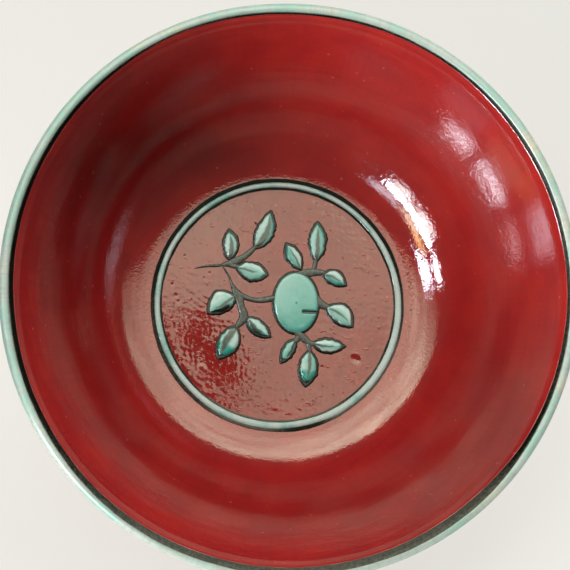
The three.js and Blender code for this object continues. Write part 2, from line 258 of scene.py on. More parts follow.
def ironRedEnamel(name, look, across):
    # iron-red overglaze enamel, a lead glass full of iron oxide, brushed on and fired glossy: an opaque
    # deep red that mirrors strongly, a little cloudy where the brush left it thin, with a faint orange
    # peel, bristle marks that lie across the well or round the wall, runs from the lip down, and specks
    # that catch the light
    material, tree, place = startMaterial(name)
    if across:
        strokes = addNode(tree, "Mapping", {"Vector": place, "Scale": (0.6, 1, 1)})
    else:
        strokes = roundTheAxis(tree, place, look["streak"])
    down = fromLipDown(tree, place)
    cloudy = {"Vector": place, "Scale": 1 / look["mottle"], "Detail": 3.0, "Roughness": 0.55}
    cloudy = addNode(tree, "TexNoise", cloudy)
    brushed = addNode(tree, "TexNoise", {"Vector": strokes, "Scale": 1 / look["brush"], "Roughness": 0.55})
    runs = addNode(tree, "TexNoise", {"Vector": down, "Scale": 1 / look["run"], "Roughness": 0.6})
    gloss = addNode(tree, "TexNoise", {"Vector": place, "Scale": 1 / 2.4, "Detail": 3.0})
    peel = addNode(tree, "TexNoise", {"Vector": place, "Scale": 1 / look["peel"][0]})
    fine = addNode(tree, "TexNoise", {"Vector": place, "Scale": 1 / look["fine"][0], "Detail": 1.0})
    pit = specksIn(tree, place, look["pitSpacing"], look["pitSize"], 3.1, (0.50, 0.56))
    colour = laid(tree, look["body"], look["light"], cloudy, 0.35, 0.68)
    colour = laid(tree, colour, look["thin"], brushed, 0.45, 0.75, look["brushing"])
    colour = laid(tree, colour, look["thin"], runs, 0.45, 0.75, look["running"])
    colour = addNode(tree, "Mix", {0: pit, 6: colour, 7: look["pit"]}, 2, **asColour)
    layers = [(peel, look["peel"][1]), (fine, look["fine"][1]), (pit, look["pitDepth"])]
    if look["fleck"]:
        fleck = addNode(tree, "TexNoise", {"Vector": strokes, "Scale": 1 / look["fleck"][0]})
        layers.append((addNode(tree, "MapRange", [fleck, 0.65, 0.74], **sCurve), look["fleck"][1]))
    endMaterial(tree, look, colour, gloss, layers)
    return material


lipLook = dict(
    pale="#A9B7AC", teal="#8DB3A3", cream="#BDB79C", grey="#9DA399", edge="#3E4237",
    patch=7.0,           # mm along the band between teal and cream
    teals=(0.38, 0.62),  # below and above which share of the patches the band is all teal and all pale
    run=0.7,             # mm between the streaks that lead over the lip
    peel=(0.6, 0.008),   # mm across, mm deep
    roughness=(0.28, 0.42),
    ior=1.40,
)
ringLook = dict(
    lipLook, pale="#B4D0C5", teal="#6FB5A5", cream="#C5D2CA", grey="#B2BEB8", edge="#16201C",
    patch=6.0, teals=(0.32, 0.50), roughness=(0.10, 0.18),
)


def celadonBand(name, look):
    # opaque turquoise enamel laid in a band: pale where it is thin on the crown, tealer where it has
    # pooled, here and there cream where the body shows through, streaked grey across its way, softly
    # glossy, and darkened along its edges by the black line that bleeds into it
    material, tree, place = startMaterial(name)
    down = fromLipDown(tree, place)
    patch = addNode(tree, "TexNoise", {"Vector": place, "Scale": 1 / look["patch"]})
    warm = addNode(tree, "TexNoise", {"Vector": place, "Scale": 1 / (look["patch"] * 1.4), "Detail": 1.0})
    streaks = {"Vector": down, "Scale": 1 / look["run"], "Detail": 3.0, "Roughness": 0.65}
    streaks = addNode(tree, "TexNoise", streaks)
    fine = addNode(tree, "TexNoise", {"Vector": place, "Scale": 1 / 0.8})
    peel = addNode(tree, "TexNoise", {"Vector": place, "Scale": 1 / look["peel"][0], "Detail": 1.0})
    ragged = addNode(tree, "MapRange", [fine, 0.3, 0.7, 0.7, 1.0], **sCurve)
    edge = addNode(tree, "Attribute", output="Fac", attribute_name="edge")
    edge = addNode(tree, "Math", [edge, ragged], operation="MULTIPLY")
    colour = laid(tree, look["teal"], look["pale"], patch, *look["teals"])
    colour = laid(tree, colour, look["cream"], warm, 0.56, 0.72, 0.8)
    colour = laid(tree, colour, look["grey"], streaks, 0.42, 0.72, 0.75)
    colour = addNode(tree, "Mix", {0: edge, 6: colour, 7: look["edge"]}, 2, **asColour)
    endMaterial(tree, look, colour, fine, [(peel, look["peel"][1])])
    return material


lineLook = dict(
    black="#060805", brown="#0F100B", thin="#5F6155",
    roughness=(0.3, 0.5),
    ior=1.12,
)


def brushedBlack():
    # black-brown line brushed on dry, so that it mirrors little: dense in the middle of the stroke,
    # thinner and olive grey along its edges and where the brush ran out; on the ring's lines the thin grey
    # stretch also stands for a painted reflection of the bright sky
    material, tree, place = startMaterial("brushedBlack")
    dry = addNode(tree, "TexNoise", {"Vector": place, "Scale": 1 / 5.0})
    grain = addNode(tree, "TexNoise", {"Vector": place, "Scale": 1 / 0.5, "Detail": 3.0})
    swell = addNode(tree, "TexNoise", {"Vector": place, "Scale": 1 / 0.9, "Detail": 1.0})
    ragged = addNode(tree, "MapRange", [grain, 0.25, 0.75, -0.13, 0.13], **sCurve)
    thin = addNode(tree, "Attribute", output="Fac", attribute_name="edge")
    thin = addNode(tree, "Math", [thin, ragged], operation="ADD")
    colour = laid(tree, lineLook["black"], lineLook["brown"], dry, 0.35, 0.65)
    colour = laid(tree, colour, lineLook["thin"], thin, 0.15, 1.0)
    endMaterial(tree, lineLook, colour, grain, [(swell, 0.006)])
    return material


slipLook = dict(
    # the ink colour also paints shade along one edge of some twigs
    body="#474D46", pale="#636A60", ink="#080B08",
    roughness=(0.2, 0.35),
    ior=1.3,
)


def greySlip():
    # dark slip drawn with a loaded brush under glaze: grey-olive and a little see-through along the middle
    # of a stroke, near black where it pooled along the edges, and darker along one edge of some twigs
    # as painted shade
    material, tree, place = startMaterial("greySlip")
    grain = addNode(tree, "TexNoise", {"Vector": place, "Scale": 1 / 0.55, "Detail": 3.0})
    ragged = addNode(tree, "MapRange", [grain, 0.2, 0.8, -0.12, 0.12], **sCurve)
    # the edges' ink, and painted shade along one edge of some twigs
    ink = addNode(tree, "Attribute", output="Fac", attribute_name="ink")
    ink = addNode(tree, "Math", [ink, ragged], operation="ADD")
    colour = laid(tree, slipLook["body"], slipLook["pale"], grain, 0.4, 0.75, 0.7)
    colour = laid(tree, colour, slipLook["ink"], ink, 0.15, 0.7)
    endMaterial(tree, slipLook, colour, grain, [(grain, 0.012)])
    return material


enamelLook = dict(
    # the ink colour also paints shade along one side of some leaves
    pale="#82C4B3", teal="#1E9482", white="#C0DBD0", vein="#464D45", ink="#0B1412",
    roughness=(0.10, 0.18),
    ior=1.42,
)


def turquoiseEnamel():
    # thick turquoise overglaze enamel: nearly white where it is thin, deep teal where it has run together,
    # with the slip of the midrib showing through it, and glassy
    look = enamelLook
    material, tree, place = startMaterial("turquoiseEnamel")
    cloud = addNode(tree, "TexNoise", {"Vector": place, "Scale": 1 / 1.6, "Detail": 3.0})
    swell = addNode(tree, "TexNoise", {"Vector": place, "Scale": 1 / 0.7, "Detail": 1.0})
    pale, pool, vein, ink = (addNode(tree, "Attribute", output="Fac", attribute_name=mark)
                             for mark in ("pale", "pool", "vein", "ink"))
    thin = addNode(tree, "MapRange", [cloud, 0.3, 0.6, 0.35, 1.0], **sCurve)
    thin = addNode(tree, "Math", [pale, thin], operation="MULTIPLY")
    ragged = addNode(tree, "MapRange", [cloud, 0.2, 0.8, -0.1, 0.1], **sCurve)
    pool = addNode(tree, "Math", [pool, ragged], operation="ADD")
    colour = addNode(tree, "Mix", {0: thin, 6: look["pale"], 7: look["white"]}, 2, **asColour)
    colour = laid(tree, colour, look["teal"], pool, 0.1, 0.95)
    colour = addNode(tree, "Mix", {0: vein, 6: colour, 7: look["vein"]}, 2, **asColour)
    # near black where inked: the fruit's cleft, leaf tips, and painted shade along one side of some leaves
    colour = laid(tree, colour, look["ink"], ink, 0.2, 0.8)
    endMaterial(tree, look, colour, cloud, [(swell, 0.01)])
    return material


clearLook = dict(
    thin="#E0E1D7", pooled="#B9CDBF", speck="#6B5A42",
    pool=0.6,  # how much of the colour changes where the glaze has pooled
    roughness=(0.06, 0.14),
    ior=1.52,
)


def clearGlaze():
    # clear feldspathic glaze over white porcelain: faintly grey-green, greener where it is thick in the
    # corner, with pinholes and a few iron specks from the firing
    look = clearLook
    material, tree, place = startMaterial("clearGlaze")
    cloud = addNode(tree, "TexNoise", {"Vector": place, "Scale": 1 / 5.0})
    swell = addNode(tree, "TexNoise", {"Vector": place, "Scale": 1 / 1.8, "Detail": 1.0})
    cloudy = addNode(tree, "MapRange", [cloud, 0.4, 0.8, 0.0, 0.35], **sCurve)
    thick = addNode(tree, "Attribute", output="Fac", attribute_name="pool")
    thick = addNode(tree, "Math", [thick, cloudy], operation="MAXIMUM")
    thick = addNode(tree, "Math", [thick, look["pool"]], operation="MULTIPLY")
    speck = specksIn(tree, place, 3.4, (0.03, 0.07), 4.0, (0.5, 0.6))
    hole = addNode(tree, "Math", [1.0, speck], operation="SUBTRACT")
    colour = addNode(tree, "Mix", {0: thick, 6: look["thin"], 7: look["pooled"]}, 2, **asColour)
    colour = addNode(tree, "Mix", {0: speck, 6: colour, 7: look["speck"]}, 2, **asColour)
    endMaterial(tree, look, colour, cloud, [(swell, 0.03), (hole, 0.03)])
    return material


clayLook = dict(
    body="#E2D8C4", stain="#C08A5A", grey="#A79E8E",
    roughness=(0.55, 0.8),
    ior=1.5,
)


def bareClay():
    # unglazed fired porcelain: matt cream, toasted orange where it meets the glaze, a little grey with
    # wear on the edge it stands on, with a fine sandy grain
    look = clayLook
    material, tree, place = startMaterial("bareClay")
    cloud = addNode(tree, "TexNoise", {"Vector": place, "Scale": 1 / 2.5, "Detail": 3.0})
    grit = addNode(tree, "TexNoise", {"Vector": place, "Scale": 1 / 0.25, "Roughness": 0.7})
    height = addNode(tree, "SeparateXYZ", [place], "Z")
    toasted = addNode(tree, "MapRange", [height, 0.35, 0.95], **sCurve)
    cloudy = addNode(tree, "MapRange", [cloud, 0.3, 0.7, 0.2, 0.8], **sCurve)
    toasted = addNode(tree, "Math", [toasted, cloudy], operation="MULTIPLY")
    worn = addNode(tree, "MapRange", [height, 0.02, 0.15, 0.7, 0.0], **sCurve)
    gritty = addNode(tree, "MapRange", [grit, 0.4, 0.6], **sCurve)
    worn = addNode(tree, "Math", [worn, gritty], operation="MULTIPLY")
    colour = addNode(tree, "Mix", {0: toasted, 6: look["body"], 7: look["stain"]}, 2, **asColour)
    colour = addNode(tree, "Mix", {0: worn, 6: colour, 7: look["grey"]}, 2, **asColour)
    endMaterial(tree, look, colour, grit, [(cloud, 0.03), (grit, 0.03)])
    return material


redEnamel = ironRedEnamel("ironRedEnamel", redLook, False)
wellEnamel = ironRedEnamel("ironRedWell", wellLook, True)
lipEnamel = celadonBand("celadonLip", lipLook)
ringEnamel = celadonBand("celadonRing", ringLook)
blackLine = brushedBlack()
slipPaint = greySlip()
leafEnamel = turquoiseEnamel()
recessGlaze = clearGlaze()
firedClay = bareClay()
print("materials made")


# the line of the glazed surface, from the middle of the floor over the lip to the foot
bowl = dict(
    lipThickness=2.2, wallThickness=2.5, shoulderThickness=3.4,  # mm, from the top down
    flareReach=1.0, flareHeight=3.6, flareAngle=30,  # mm and degrees by which the lip turns outwards
    wallLean=4.0, heelRise=9.5, heelReach=7.0,  # mm, the handles of the wall's curve
    wellMargin=0.45,   # mm of level floor outside the ring
    outOfRound=0.25,   # mm that the rim is drawn in on one side
    drawnInAt=88, drawnInWidth=22,  # degrees round the cup
    unevenRim=0.12,    # mm that the rim dips
    ringPitch=3.4,     # mm between the potter's finger rings on the inside
    ringDepth=0.003,
    unevenness=0.007,  # mm of slow waves in the wall
)


def bezier(a, b, c, d, count=400):
    # cubic curve: its four points weighted by (1-t)^3, 3t(1-t)^2, 3t^2(1-t) and t^3
    t = np.linspace(0, 1, count)[:, None]
    return (1 - t) ** 3 * a + 3 * t * (1 - t) ** 2 * b + 3 * t ** 2 * (1 - t) * c + t ** 3 * d


def easing(a, leaving, b, arriving):
    # cubic curve that leaves a in one direction and arrives at b in another, with handles a third of the
    # way long
    reach = np.hypot(*(b - a)) / 3
    leaving, arriving = leaving / np.hypot(*leaving), arriving / np.hypot(*arriving)
    return bezier(a, a + leaving * reach, b - arriving * reach, b, 100)


def surfaceLine(step=0.05):
    # floor, wall, flare, lip, flare and outside joined end to end, then taken at even steps along the way
    b = bowl
    level = ringEnd + b["wellMargin"]
    wallTop = np.array([rimRadius - b["lipThickness"] - b["flareReach"], cupHeight - b["flareHeight"]])
    heel = np.array([wallTop[0] - b["wallLean"], floorLevel + b["heelRise"]])
    glazeBottom = footHeight - coats["thickness"]
    wall = bezier(
        np.array([level, floorLevel]),
        np.array([level + b["heelReach"], floorLevel]),
        heel,
        wallTop,
    )
    outside = bezier(
        wallTop + [b["wallThickness"], 0],
        heel + np.array([1, -0.5]) * b["shoulderThickness"],
        np.array([level + b["heelReach"] + b["shoulderThickness"], glazeBottom]),
        np.array([footTopRadius + coats["bond"], glazeBottom]),
    )
    lipRound = b["lipThickness"] / 2
    angles = np.radians(np.linspace(180 - b["flareAngle"], -b["flareAngle"], 120))
    lipMiddle = np.array([rimRadius, cupHeight]) - lipRound
    lip = np.stack([np.cos(angles), np.sin(angles)], -1) * lipRound + lipMiddle
    inFlare = easing(wall[-1], wall[-1] - wall[-2], lip[0], lip[1] - lip[0])
    outFlare = easing(lip[-1], lip[-1] - lip[-2], outside[0], outside[1] - outside[0])
    floor = np.array([[0.0, floorLevel]])
    line = np.concatenate([floor, wall, inFlare[1:], lip[1:], outFlare[1:], outside[1:]])
    way = np.concatenate([[0], np.cumsum(np.hypot(*np.diff(line, axis=0).T))])
    along = np.linspace(0, way[-1], int(way[-1] / step))
    r = np.interp(along, way, line[:, 0])
    z = np.interp(along, way, line[:, 1])
    smooth = np.ones(9) / 9  # a short running mean takes the kinks out of the direction
    dr = np.convolve(np.pad(np.gradient(r, along), 4, "edge"), smooth, "valid")
    dz = np.convolve(np.pad(np.gradient(z, along), 4, "edge"), smooth, "valid")
    length = np.hypot(dr, dz)
    return along, r, z, -dz / length, dr / length


lineAlong, lineR, lineZ, lineOutR, lineOutZ = surfaceLine()
wholeWay = lineAlong[-1]
lipTop = lineAlong[np.argmax(lineZ)]
rimAt = lineAlong[np.argmax(lineR)]


def alongToRadius(radius):
    # way along the surface to a radius, on the inside
    inside = lineAlong <= rimAt
    return np.interp(radius, lineR[inside], lineAlong[inside])


def alongToHeight(height):
    # way along the surface to a height, past the top of the lip
    outside = lineAlong >= lipTop
    return np.interp(-height, -lineZ[outside], lineAlong[outside])


def waver(turn, seed, slowest, fastest, size):
    # a closed wandering line: whole numbers of waves round the cup, each weaker as it gets shorter
    draw = np.random.default_rng(seed)
    waves = np.arange(slowest, fastest + 1)
    phase = draw.uniform(0, 2 * np.pi, len(waves))
    strength = draw.normal(size=len(waves)) / np.sqrt(waves)
    line = (strength * np.sin(turn[..., None] * waves + phase)).sum(-1)
    return size * line / np.sqrt((strength ** 2).sum() / 2) / 2


def ripples(x, y, seed, shortest, longest, count=36):
    # sum of straight waves in seeded directions, of lengths between two limits; about -1 to 1
    draw = np.random.default_rng(seed)
    angle = draw.uniform(0, 2 * np.pi, count)
    wave = 2 * np.pi / np.exp(draw.uniform(np.log(shortest), np.log(longest), count))
    phase = draw.uniform(0, 2 * np.pi, count)
    total = np.zeros(np.shape(x))
    for a, k, p in zip(angle, wave, phase):
        total += np.sin((x * np.cos(a) + y * np.sin(a)) * k + p)
    return total / np.sqrt(count * 2)


def potted(radius, turn, level):
    # a point turned round the axis, on a pot that is a hair out of round and uneven towards its rim
    share = np.clip(level / cupHeight, 0, 1) ** 2
    aside = (np.degrees(turn) - bowl["drawnInAt"] + 180) % 360 - 180
    drawIn = bowl["outOfRound"] * share * np.exp(-(aside / bowl["drawnInWidth"]) ** 2)
    dip = bowl["unevenRim"] * share ** 2 * (1 + np.cos(3 * turn - 0.4)) / 2
    radius = radius - drawIn * (radius > 1)
    return np.stack([radius * np.cos(turn), radius * np.sin(turn), level - dip + 0 * radius], -1)


def handWork(along, turn):
    # what the potter's hands left: a spiral of finger rings and slow waves, on the wall only
    b = bowl
    first, last = alongToRadius(ringEnd) + 1.5, alongToRadius(rimRadius - 3.2)
    inside = np.clip((along - first) / 6, 0, 1) * np.clip((last - along) / 4, 0, 1)
    outside = np.clip((along - rimAt - 6) / 6, 0, 1) * np.clip((wholeWay - along) / 6, 0, 1)
    rings = np.sin(2 * np.pi * (along + 0.6 * np.sin(along / 4)) / b["ringPitch"] - turn)
    slow = ripples(30 * np.cos(turn) + along, 30 * np.sin(turn) - along, 5, 5, 16)
    return (inside + outside) * (b["ringDepth"] * rings + b["unevenness"] * slow)


def surfaceAt(along, turn, height):
    # a point on the line turned round the axis and moved out along its normal by a height
    lift = height + handWork(along, turn)
    radius = np.interp(along, lineAlong, lineR) + lift * np.interp(along, lineAlong, lineOutR)
    level = np.interp(along, lineAlong, lineZ) + lift * np.interp(along, lineAlong, lineOutZ)
    return potted(radius, turn, level)


def turnsOf(columns):
    # even steps once round the axis, in radians
    return np.arange(columns) * 2 * np.pi / columns


columnsRound = 720  # points round the cup in every coat whose edges have to meet
allRound = turnsOf(columnsRound)


def coatBody(start, end, faceOf, columns, faceRows, backRows, bleed=0.14):
    # a coat between two lines round the cup: rows over its face from start to end, then rows back under
    # it. faceOf gives the height of the face from the share of the way across, the way along and the turn;
    # the mark of the edges falls off as e to the minus distance over the bleed
    turn = turnsOf(columns)[None, :]
    start, end = (np.broadcast_to(x, (columns,))[None, :] for x in (start, end))
    share = np.linspace(0, 1, faceRows)[:, None]
    backShare = np.linspace(1, 0, backRows)[:, None]
    along = start + (end - start) * share
    face = surfaceAt(along, turn, faceOf(share, along, turn))
    deep = np.full((backRows, columns), -coats["buried"])
    under = surfaceAt(start + (end - start) * backShare, turn, deep)
    edge = np.exp(-np.minimum(share, 1 - share) * (end - start) / bleed)
    marks = np.concatenate([edge, np.ones((backRows, columns))])
    points, faces = closedBody(np.concatenate([face, under]))
    return points, faces, {"edge": marks.ravel()}


print("profile of", round(wholeWay, 1), "mm made")


def turnedBody(section, columns):
    # a closed section, or one that starts and ends on the axis, turned round it
    onAxis = section[0][0] < 1e-6
    rows = section[1:-1] if onAxis else section
    rings = potted(rows[:, :1], turnsOf(columns)[None, :], rows[:, 1:])
    poles = [(0, 0, section[0][1]), (0, 0, section[-1][1])] if onAxis else None
    return (*closedBody(rings, poles), {})


def bowlSection():
    # the surface line moved into the clay by the coat, closed by the underside
    keep = slice(None, None, 16)  # one point in sixteen
    depth = -coats["thickness"]
    r = (lineR + depth * lineOutR)[keep]
    z = (lineZ + depth * lineOutZ)[keep]
    r[0] = 0.0
    return np.concatenate([np.stack([r, z], -1), [[0.0, footHeight + 0.02]]])


foot = dict(
    topWall=3.8, bottomWall=2.2,    # mm of clay where it joins the bowl and where it stands
    taper=1.0,                      # mm that it draws in towards its bottom
    edge=0.4,                       # mm, the rounding of the edge it stands on
    bareHeight=0.9,                 # mm that the glaze inside it leaves bare
    lineCoat=0.30, bandCoat=0.33,   # mm that the black line and the band stand out
    lap=0.05,                       # mm that each of the two runs on past where they meet
    bandClear=0.08,                 # mm that the band ends above the lowest it may reach
)


def footRadius(height, inner=False):
    # outside or inside radius of the foot ring, which draws in towards its bottom in a straight line
    share = (height - foot["edge"]) / (footTop - foot["edge"])
    top = footTopRadius - (foot["topWall"] if inner else 0)
    bottom = footTopRadius - foot["taper"] - (foot["bottomWall"] if inner else 0)
    return bottom + (top - bottom) * share


def footSection():
    # outside down, a quarter round to the standing edge, a quarter round up, inside up, top across
    edge = foot["edge"]
    angle = np.linspace(0, np.pi / 2, 8)
    out = np.stack([footRadius(edge) - edge * (1 - np.cos(angle)), edge * (1 - np.sin(angle))], -1)
    angle = angle[::-1]
    inn = np.stack([footRadius(edge, True) + edge * (1 - np.cos(angle)), edge * (1 - np.sin(angle))], -1)
    heights = np.linspace(footTop, edge, 14)[:-1]
    down = np.stack([footRadius(heights), heights], -1)
    up = np.stack([footRadius(heights[::-1], True), heights[::-1]], -1)
    flat = np.stack([np.linspace(out[-1][0], inn[0][0], 6)[1:-1], np.zeros(4)], -1)
    return np.concatenate([down, out, flat, inn, up])


addPiece("bowlClay", [turnedBody(bowlSection(), 240)], firedClay, "porcelain_body")
addPiece("footClay", [turnedBody(footSection(), 360)], firedClay, "foot_ring")
print("clay turned")


# red ground in the well, inside and outside
well = dict(
    peelHeight=0.0042,    # mm of ripple in the enamel of the floor
    brushHeight=0.005,
    rimRise=0.015,        # mm that the enamel stands up against the ring's line
    underLine=0.3,        # mm that it runs on under the line
    # pits and bumps: x, y, radius, height
    marks=[
        (15.3, -10.9, 0.55, -0.22), (15.9, -11.3, 0.45, -0.20), (15.5, -10.1, 0.5, 0.06),
        (-15.2, -12.6, 0.45, 0.12), (-14.6, -13.2, 0.35, 0.08), (-12.9, -6.3, 0.25, 0.05),
        (-12.3, -6.6, 0.25, 0.05), (-21.2, 3.6, 0.3, -0.10), (-20.4, 1.4, 0.3, -0.10),
        (-20.0, 0.2, 0.35, -0.08), (-18.8, 9.4, 0.25, -0.10), (-13.8, 6.0, 0.2, -0.06),
        (-14.9, 4.9, 0.2, -0.06), (8.7, -12.6, 0.25, -0.06),
    ],
)


def wellFace(along, turn):
    # height of the red floor: fine ripples, longer brush marks that run from side to side, pits and bumps
    x, y = along * np.cos(turn), along * np.sin(turn)
    height = well["peelHeight"] * ripples(x, y, 11, 0.9, 2.4)
    height = height + well["brushHeight"] * ripples(0.55 * x + 0.1 * y, y, 12, 0.9, 3.5)
    for markX, markY, radius, rise in well["marks"]:
        height = height + rise * np.exp(-((x - markX) ** 2 + (y - markY) ** 2) / radius ** 2)
    rim = np.clip(along - ringStart + 1, 0, 1) ** 2
    return height + well["rimRise"] * rim


def wellBody(columns=600, rows=150):
    # rows from the middle of the floor out under the ring's line, then back under it to the middle
    turn = turnsOf(columns)[None, :]
    end = ringStart + well["underLine"]
    along = (np.linspace(0.004, 1, rows) * end)[:, None] + 0 * turn
    face = surfaceAt(along, turn, wellFace(along, turn))
    backAlong = (np.linspace(1, 0.01, 8) * end)[:, None] + 0 * turn
    under = surfaceAt(backAlong, turn, np.full(backAlong.shape, -coats["buried"]))
    middle = wellFace(np.zeros((1, 1)), np.zeros((1, 1)))[0, 0]
    poles = [(0, 0, floorLevel + middle), (0, 0, floorLevel - coats["buried"])]
    return (*closedBody(np.concatenate([face, under]), poles), {})


lip = dict(
    bandDrop=2.6, lineWidth=0.7,  # outside the cup
    # the line inside the lip was drawn by hand: degrees round the cup, radius of its edge on the red and
    # of its edge on the band, and how dense its black is
    line=[
        (0, 47.78, 48.15, 0.6), (30, 47.75, 48.15, 0.6), (60, 47.85, 48.08, 0.8),
        (90, 47.88, 48.10, 0.9), (105, 47.95, 48.22, 0.9), (117, 48.08, 48.22, 0.5),
        (130, 47.85, 48.20, 1.0), (150, 47.68, 48.18, 1.0), (172, 47.62, 48.18, 1.0),
        (190, 47.45, 48.12, 0.9), (210, 47.62, 48.35, 0.8), (225, 47.75, 48.60, 0.6),
        (240, 47.75, 48.78, 0.4), (257, 47.70, 48.65, 0.4), (280, 47.55, 48.60, 0.35),
        (300, 47.45, 48.66, 0.35), (315, 47.45, 48.50, 0.45), (325, 47.70, 48.28, 0.9),
        (340, 47.72, 48.22, 0.7),
    ],
)


def drawnLine(line, turn, column):
    # one column of a line's table read off all round the cup, smoothed so that it has no corners
    table = np.array(line)
    reach = 15  # steps of half a degree to either side over which it is smoothed
    around = np.linspace(0, 360, columnsRound, endpoint=False)
    values = np.interp(around, table[:, 0], table[:, column], period=360)
    window = np.hanning(2 * reach + 1)
    window = window / window.sum()
    values = np.convolve(np.concatenate([values[-reach:], values, values[:reach]]), window, "valid")
    return np.interp(np.degrees(turn), around, values, period=360)


lipBandStart = alongToRadius(drawnLine(lip["line"], allRound, 2)) + waver(allRound, 38, 6, 60, 0.04)
lipLineStart = alongToRadius(drawnLine(lip["line"], allRound, 1)) + waver(allRound, 39, 6, 60, 0.05)
lipBandEnd = alongToHeight(cupHeight - lip["bandDrop"])
outsideStart = lipBandEnd + lip["lineWidth"]
wallStart = alongToRadius(ringEnd)


ground = dict(
    ripple=0.0026,              # mm
    sinkAtRing=0.2, sinkWidth=1.2,  # mm that the enamel sinks towards the ring's line, and how soon
    tuck=0.04,                  # mm that its two edges go under
    # mm that it runs on under the lines at the ring, inside the lip and outside it
    lapRing=0.25, lapLip=0.15, lapOutside=0.2,
)


def groundFace(share, along, turn):
    # enamel laid round the wall: ripples read off a cylinder, so that they have no seam where the turn
    # ends, and it sinks towards the ring as e to the minus distance over the width
    g = ground
    u, v = 14 * np.cos(turn) + along, 14 * np.sin(turn) + 0.6 * along
    low = g["ripple"] * ripples(u, v, 22, 0.9, 3.0)
    low = low - g["sinkAtRing"] * np.exp(-np.abs(along - wallStart) / g["sinkWidth"])
    return low - g["tuck"] * ((share < 0.001) | (share > 0.999))


addPiece("wellRed", [wellBody()], wellEnamel, "red_ground_medallion")
insideStart, insideEnd = wallStart - ground["lapRing"], lipLineStart + ground["lapLip"]
insideBody = coatBody(insideStart, insideEnd, groundFace, columnsRound, 116, 20)
addPiece("insideRed", [insideBody], redEnamel, "red_ground_inside")
outsideBody = coatBody(outsideStart - ground["lapOutside"], wholeWay, groundFace, 480, 150, 24)
addPiece("outsideRed", [outsideBody], redEnamel, "red_ground_outside")
print("red ground laid")


# lines and bands
strokes = dict(
    lineRise=0.055,     # mm that a line of the ring stands over the red
    lipLineRise=0.02,   # and a line of the lip
    bandRise=0.15,      # and the ring's band
    overlap=0.05,       # mm that the ring's band laps over its lines
    lap=0.12,           # mm that a line runs on under the band beside it
    lipLap=0.1,         # and the line inside the lip
)


def strokeFace(rise, fall=0.05):
    # a flat dome: the height falls off with the fourth power of the way from its middle, and the edges go
    # under with the eighth
    def face(share, along, turn):
        return rise * (1 - (2 * share - 1) ** 4) - fall * (2 * share - 1) ** 8
    return face


ring = dict(
    # both black lines were drawn by hand: degrees round the ring, the radii of a line's two edges, and how
    # dense it is. From about 235 to 340 degrees the tables make them thin and grey, partly thin brushwork
    # and partly a painted reflection of the bright sky
    outer=[
        (0, 24.92, 25.36, 0.6), (28, 24.74, 25.50, 0.9), (60, 24.70, 25.52, 1.0),
        (110, 24.66, 25.52, 1.0), (165, 24.68, 25.48, 1.0), (182, 24.72, 25.42, 0.65),
        (230, 24.74, 25.44, 0.6), (244, 24.90, 25.40, 0.25), (268, 24.90, 25.42, 0.3),
        (276, 24.78, 25.56, 0.9), (289, 24.84, 25.54, 0.8), (297, 25.00, 25.40, 0.2),
        (340, 24.96, 25.36, 0.25), (350, 24.92, 25.38, 0.6),
    ],
    inner=[
        (0, 23.22, 23.58, 0.4), (26, 23.12, 23.62, 0.8), (60, 23.10, 23.66, 0.9),
        (75, 23.05, 23.66, 1.0), (150, 23.08, 23.62, 1.0), (172, 23.20, 23.56, 0.6),
        (190, 23.12, 23.56, 0.7), (222, 23.10, 23.54, 0.7), (235, 23.15, 23.56, 0.2),
        (295, 23.15, 23.58, 0.2), (305, 23.12, 23.56, 0.6), (328, 23.15, 23.56, 0.4),
        (340, 23.10, 23.58, 0.7), (352, 23.15, 23.58, 0.6),
    ],
)


def roundFace(rise, fall=0.06):
    # a rounder dome for the raised band: the square root of one less the square of the way from its middle
    def face(share, along, turn):
        return (rise + fall) * np.sqrt(np.clip(1 - (2 * share - 1) ** 2, 0, 1)) - fall
    return face


def strokeBody(start, end, face, seed, wander, rows=13, bleed=0.14):
    # a stroke round the cup whose two edges wander by themselves
    first = start + waver(allRound, seed, 2, 40, wander)
    last = end + waver(allRound, seed + 1, 2, 40, wander)
    return coatBody(first, last, face, columnsRound, rows, 5, bleed)


def drawnBody(line, extendIn, extendOut, rise, seed):
    # a line drawn by hand: its edges from its table, wandering a little, and thin where its table is not
    # dense
    rows, backRows = 13, 5
    inner, outer, dense = (drawnLine(line, allRound, column) for column in (1, 2, 3))
    first = alongToRadius(inner) - extendIn + waver(allRound, seed, 6, 60, 0.05)
    last = alongToRadius(outer) + extendOut + waver(allRound, seed + 1, 6, 60, 0.05)
    points, faces, marks = coatBody(first, last, strokeFace(rise), columnsRound, rows, backRows)
    # thin and grey where the table is not dense; on the ring's lines that grey is partly a painted
    # reflection of the bright sky
    thinness = np.tile(1 - dense, rows + backRows)
    return points, faces, {"edge": np.maximum(marks["edge"] * 0.8, thinness)}


ringLineIn = drawnBody(ring["inner"], 0, strokes["lap"], strokes["lineRise"], 31)
ringLineOut = drawnBody(ring["outer"], strokes["lap"], 0, strokes["lineRise"], 33)
bandFrom = drawnLine(ring["inner"], allRound, 2) - strokes["overlap"]
bandTo = drawnLine(ring["outer"], allRound, 1) + strokes["overlap"]
ringBody = strokeBody(bandFrom, bandTo, roundFace(strokes["bandRise"]), 35, 0.03, 21, 0.23)
lipTo = lipBandEnd + waver(allRound, 37, 2, 40, 0.05)
lipBody = coatBody(lipBandStart, lipTo, strokeFace(0.0, 0.08), columnsRound, 61, 5, 0.24)
lipLineIn = drawnBody(lip["line"], 0, strokes["lipLap"], strokes["lipLineRise"], 47)
lipLineFace = strokeFace(strokes["lipLineRise"])
lipLineOut = strokeBody(lipBandEnd - strokes["lap"], outsideStart, lipLineFace, 41, 0.09)
addPiece("ringLineIn", [ringLineIn], blackLine, "ring_line_inner")
addPiece("ringLineOut", [ringLineOut], blackLine, "ring_line_outer")
addPiece("ringEnamel", [ringBody], ringEnamel, "ring_band")
addPiece("lipEnamel", [lipBody], lipEnamel, "lip_band")
addPiece("lipLineIn", [lipLineIn], blackLine, "lip_line_inside")
addPiece("lipLineOut", [lipLineOut], blackLine, "lip_line_outside")


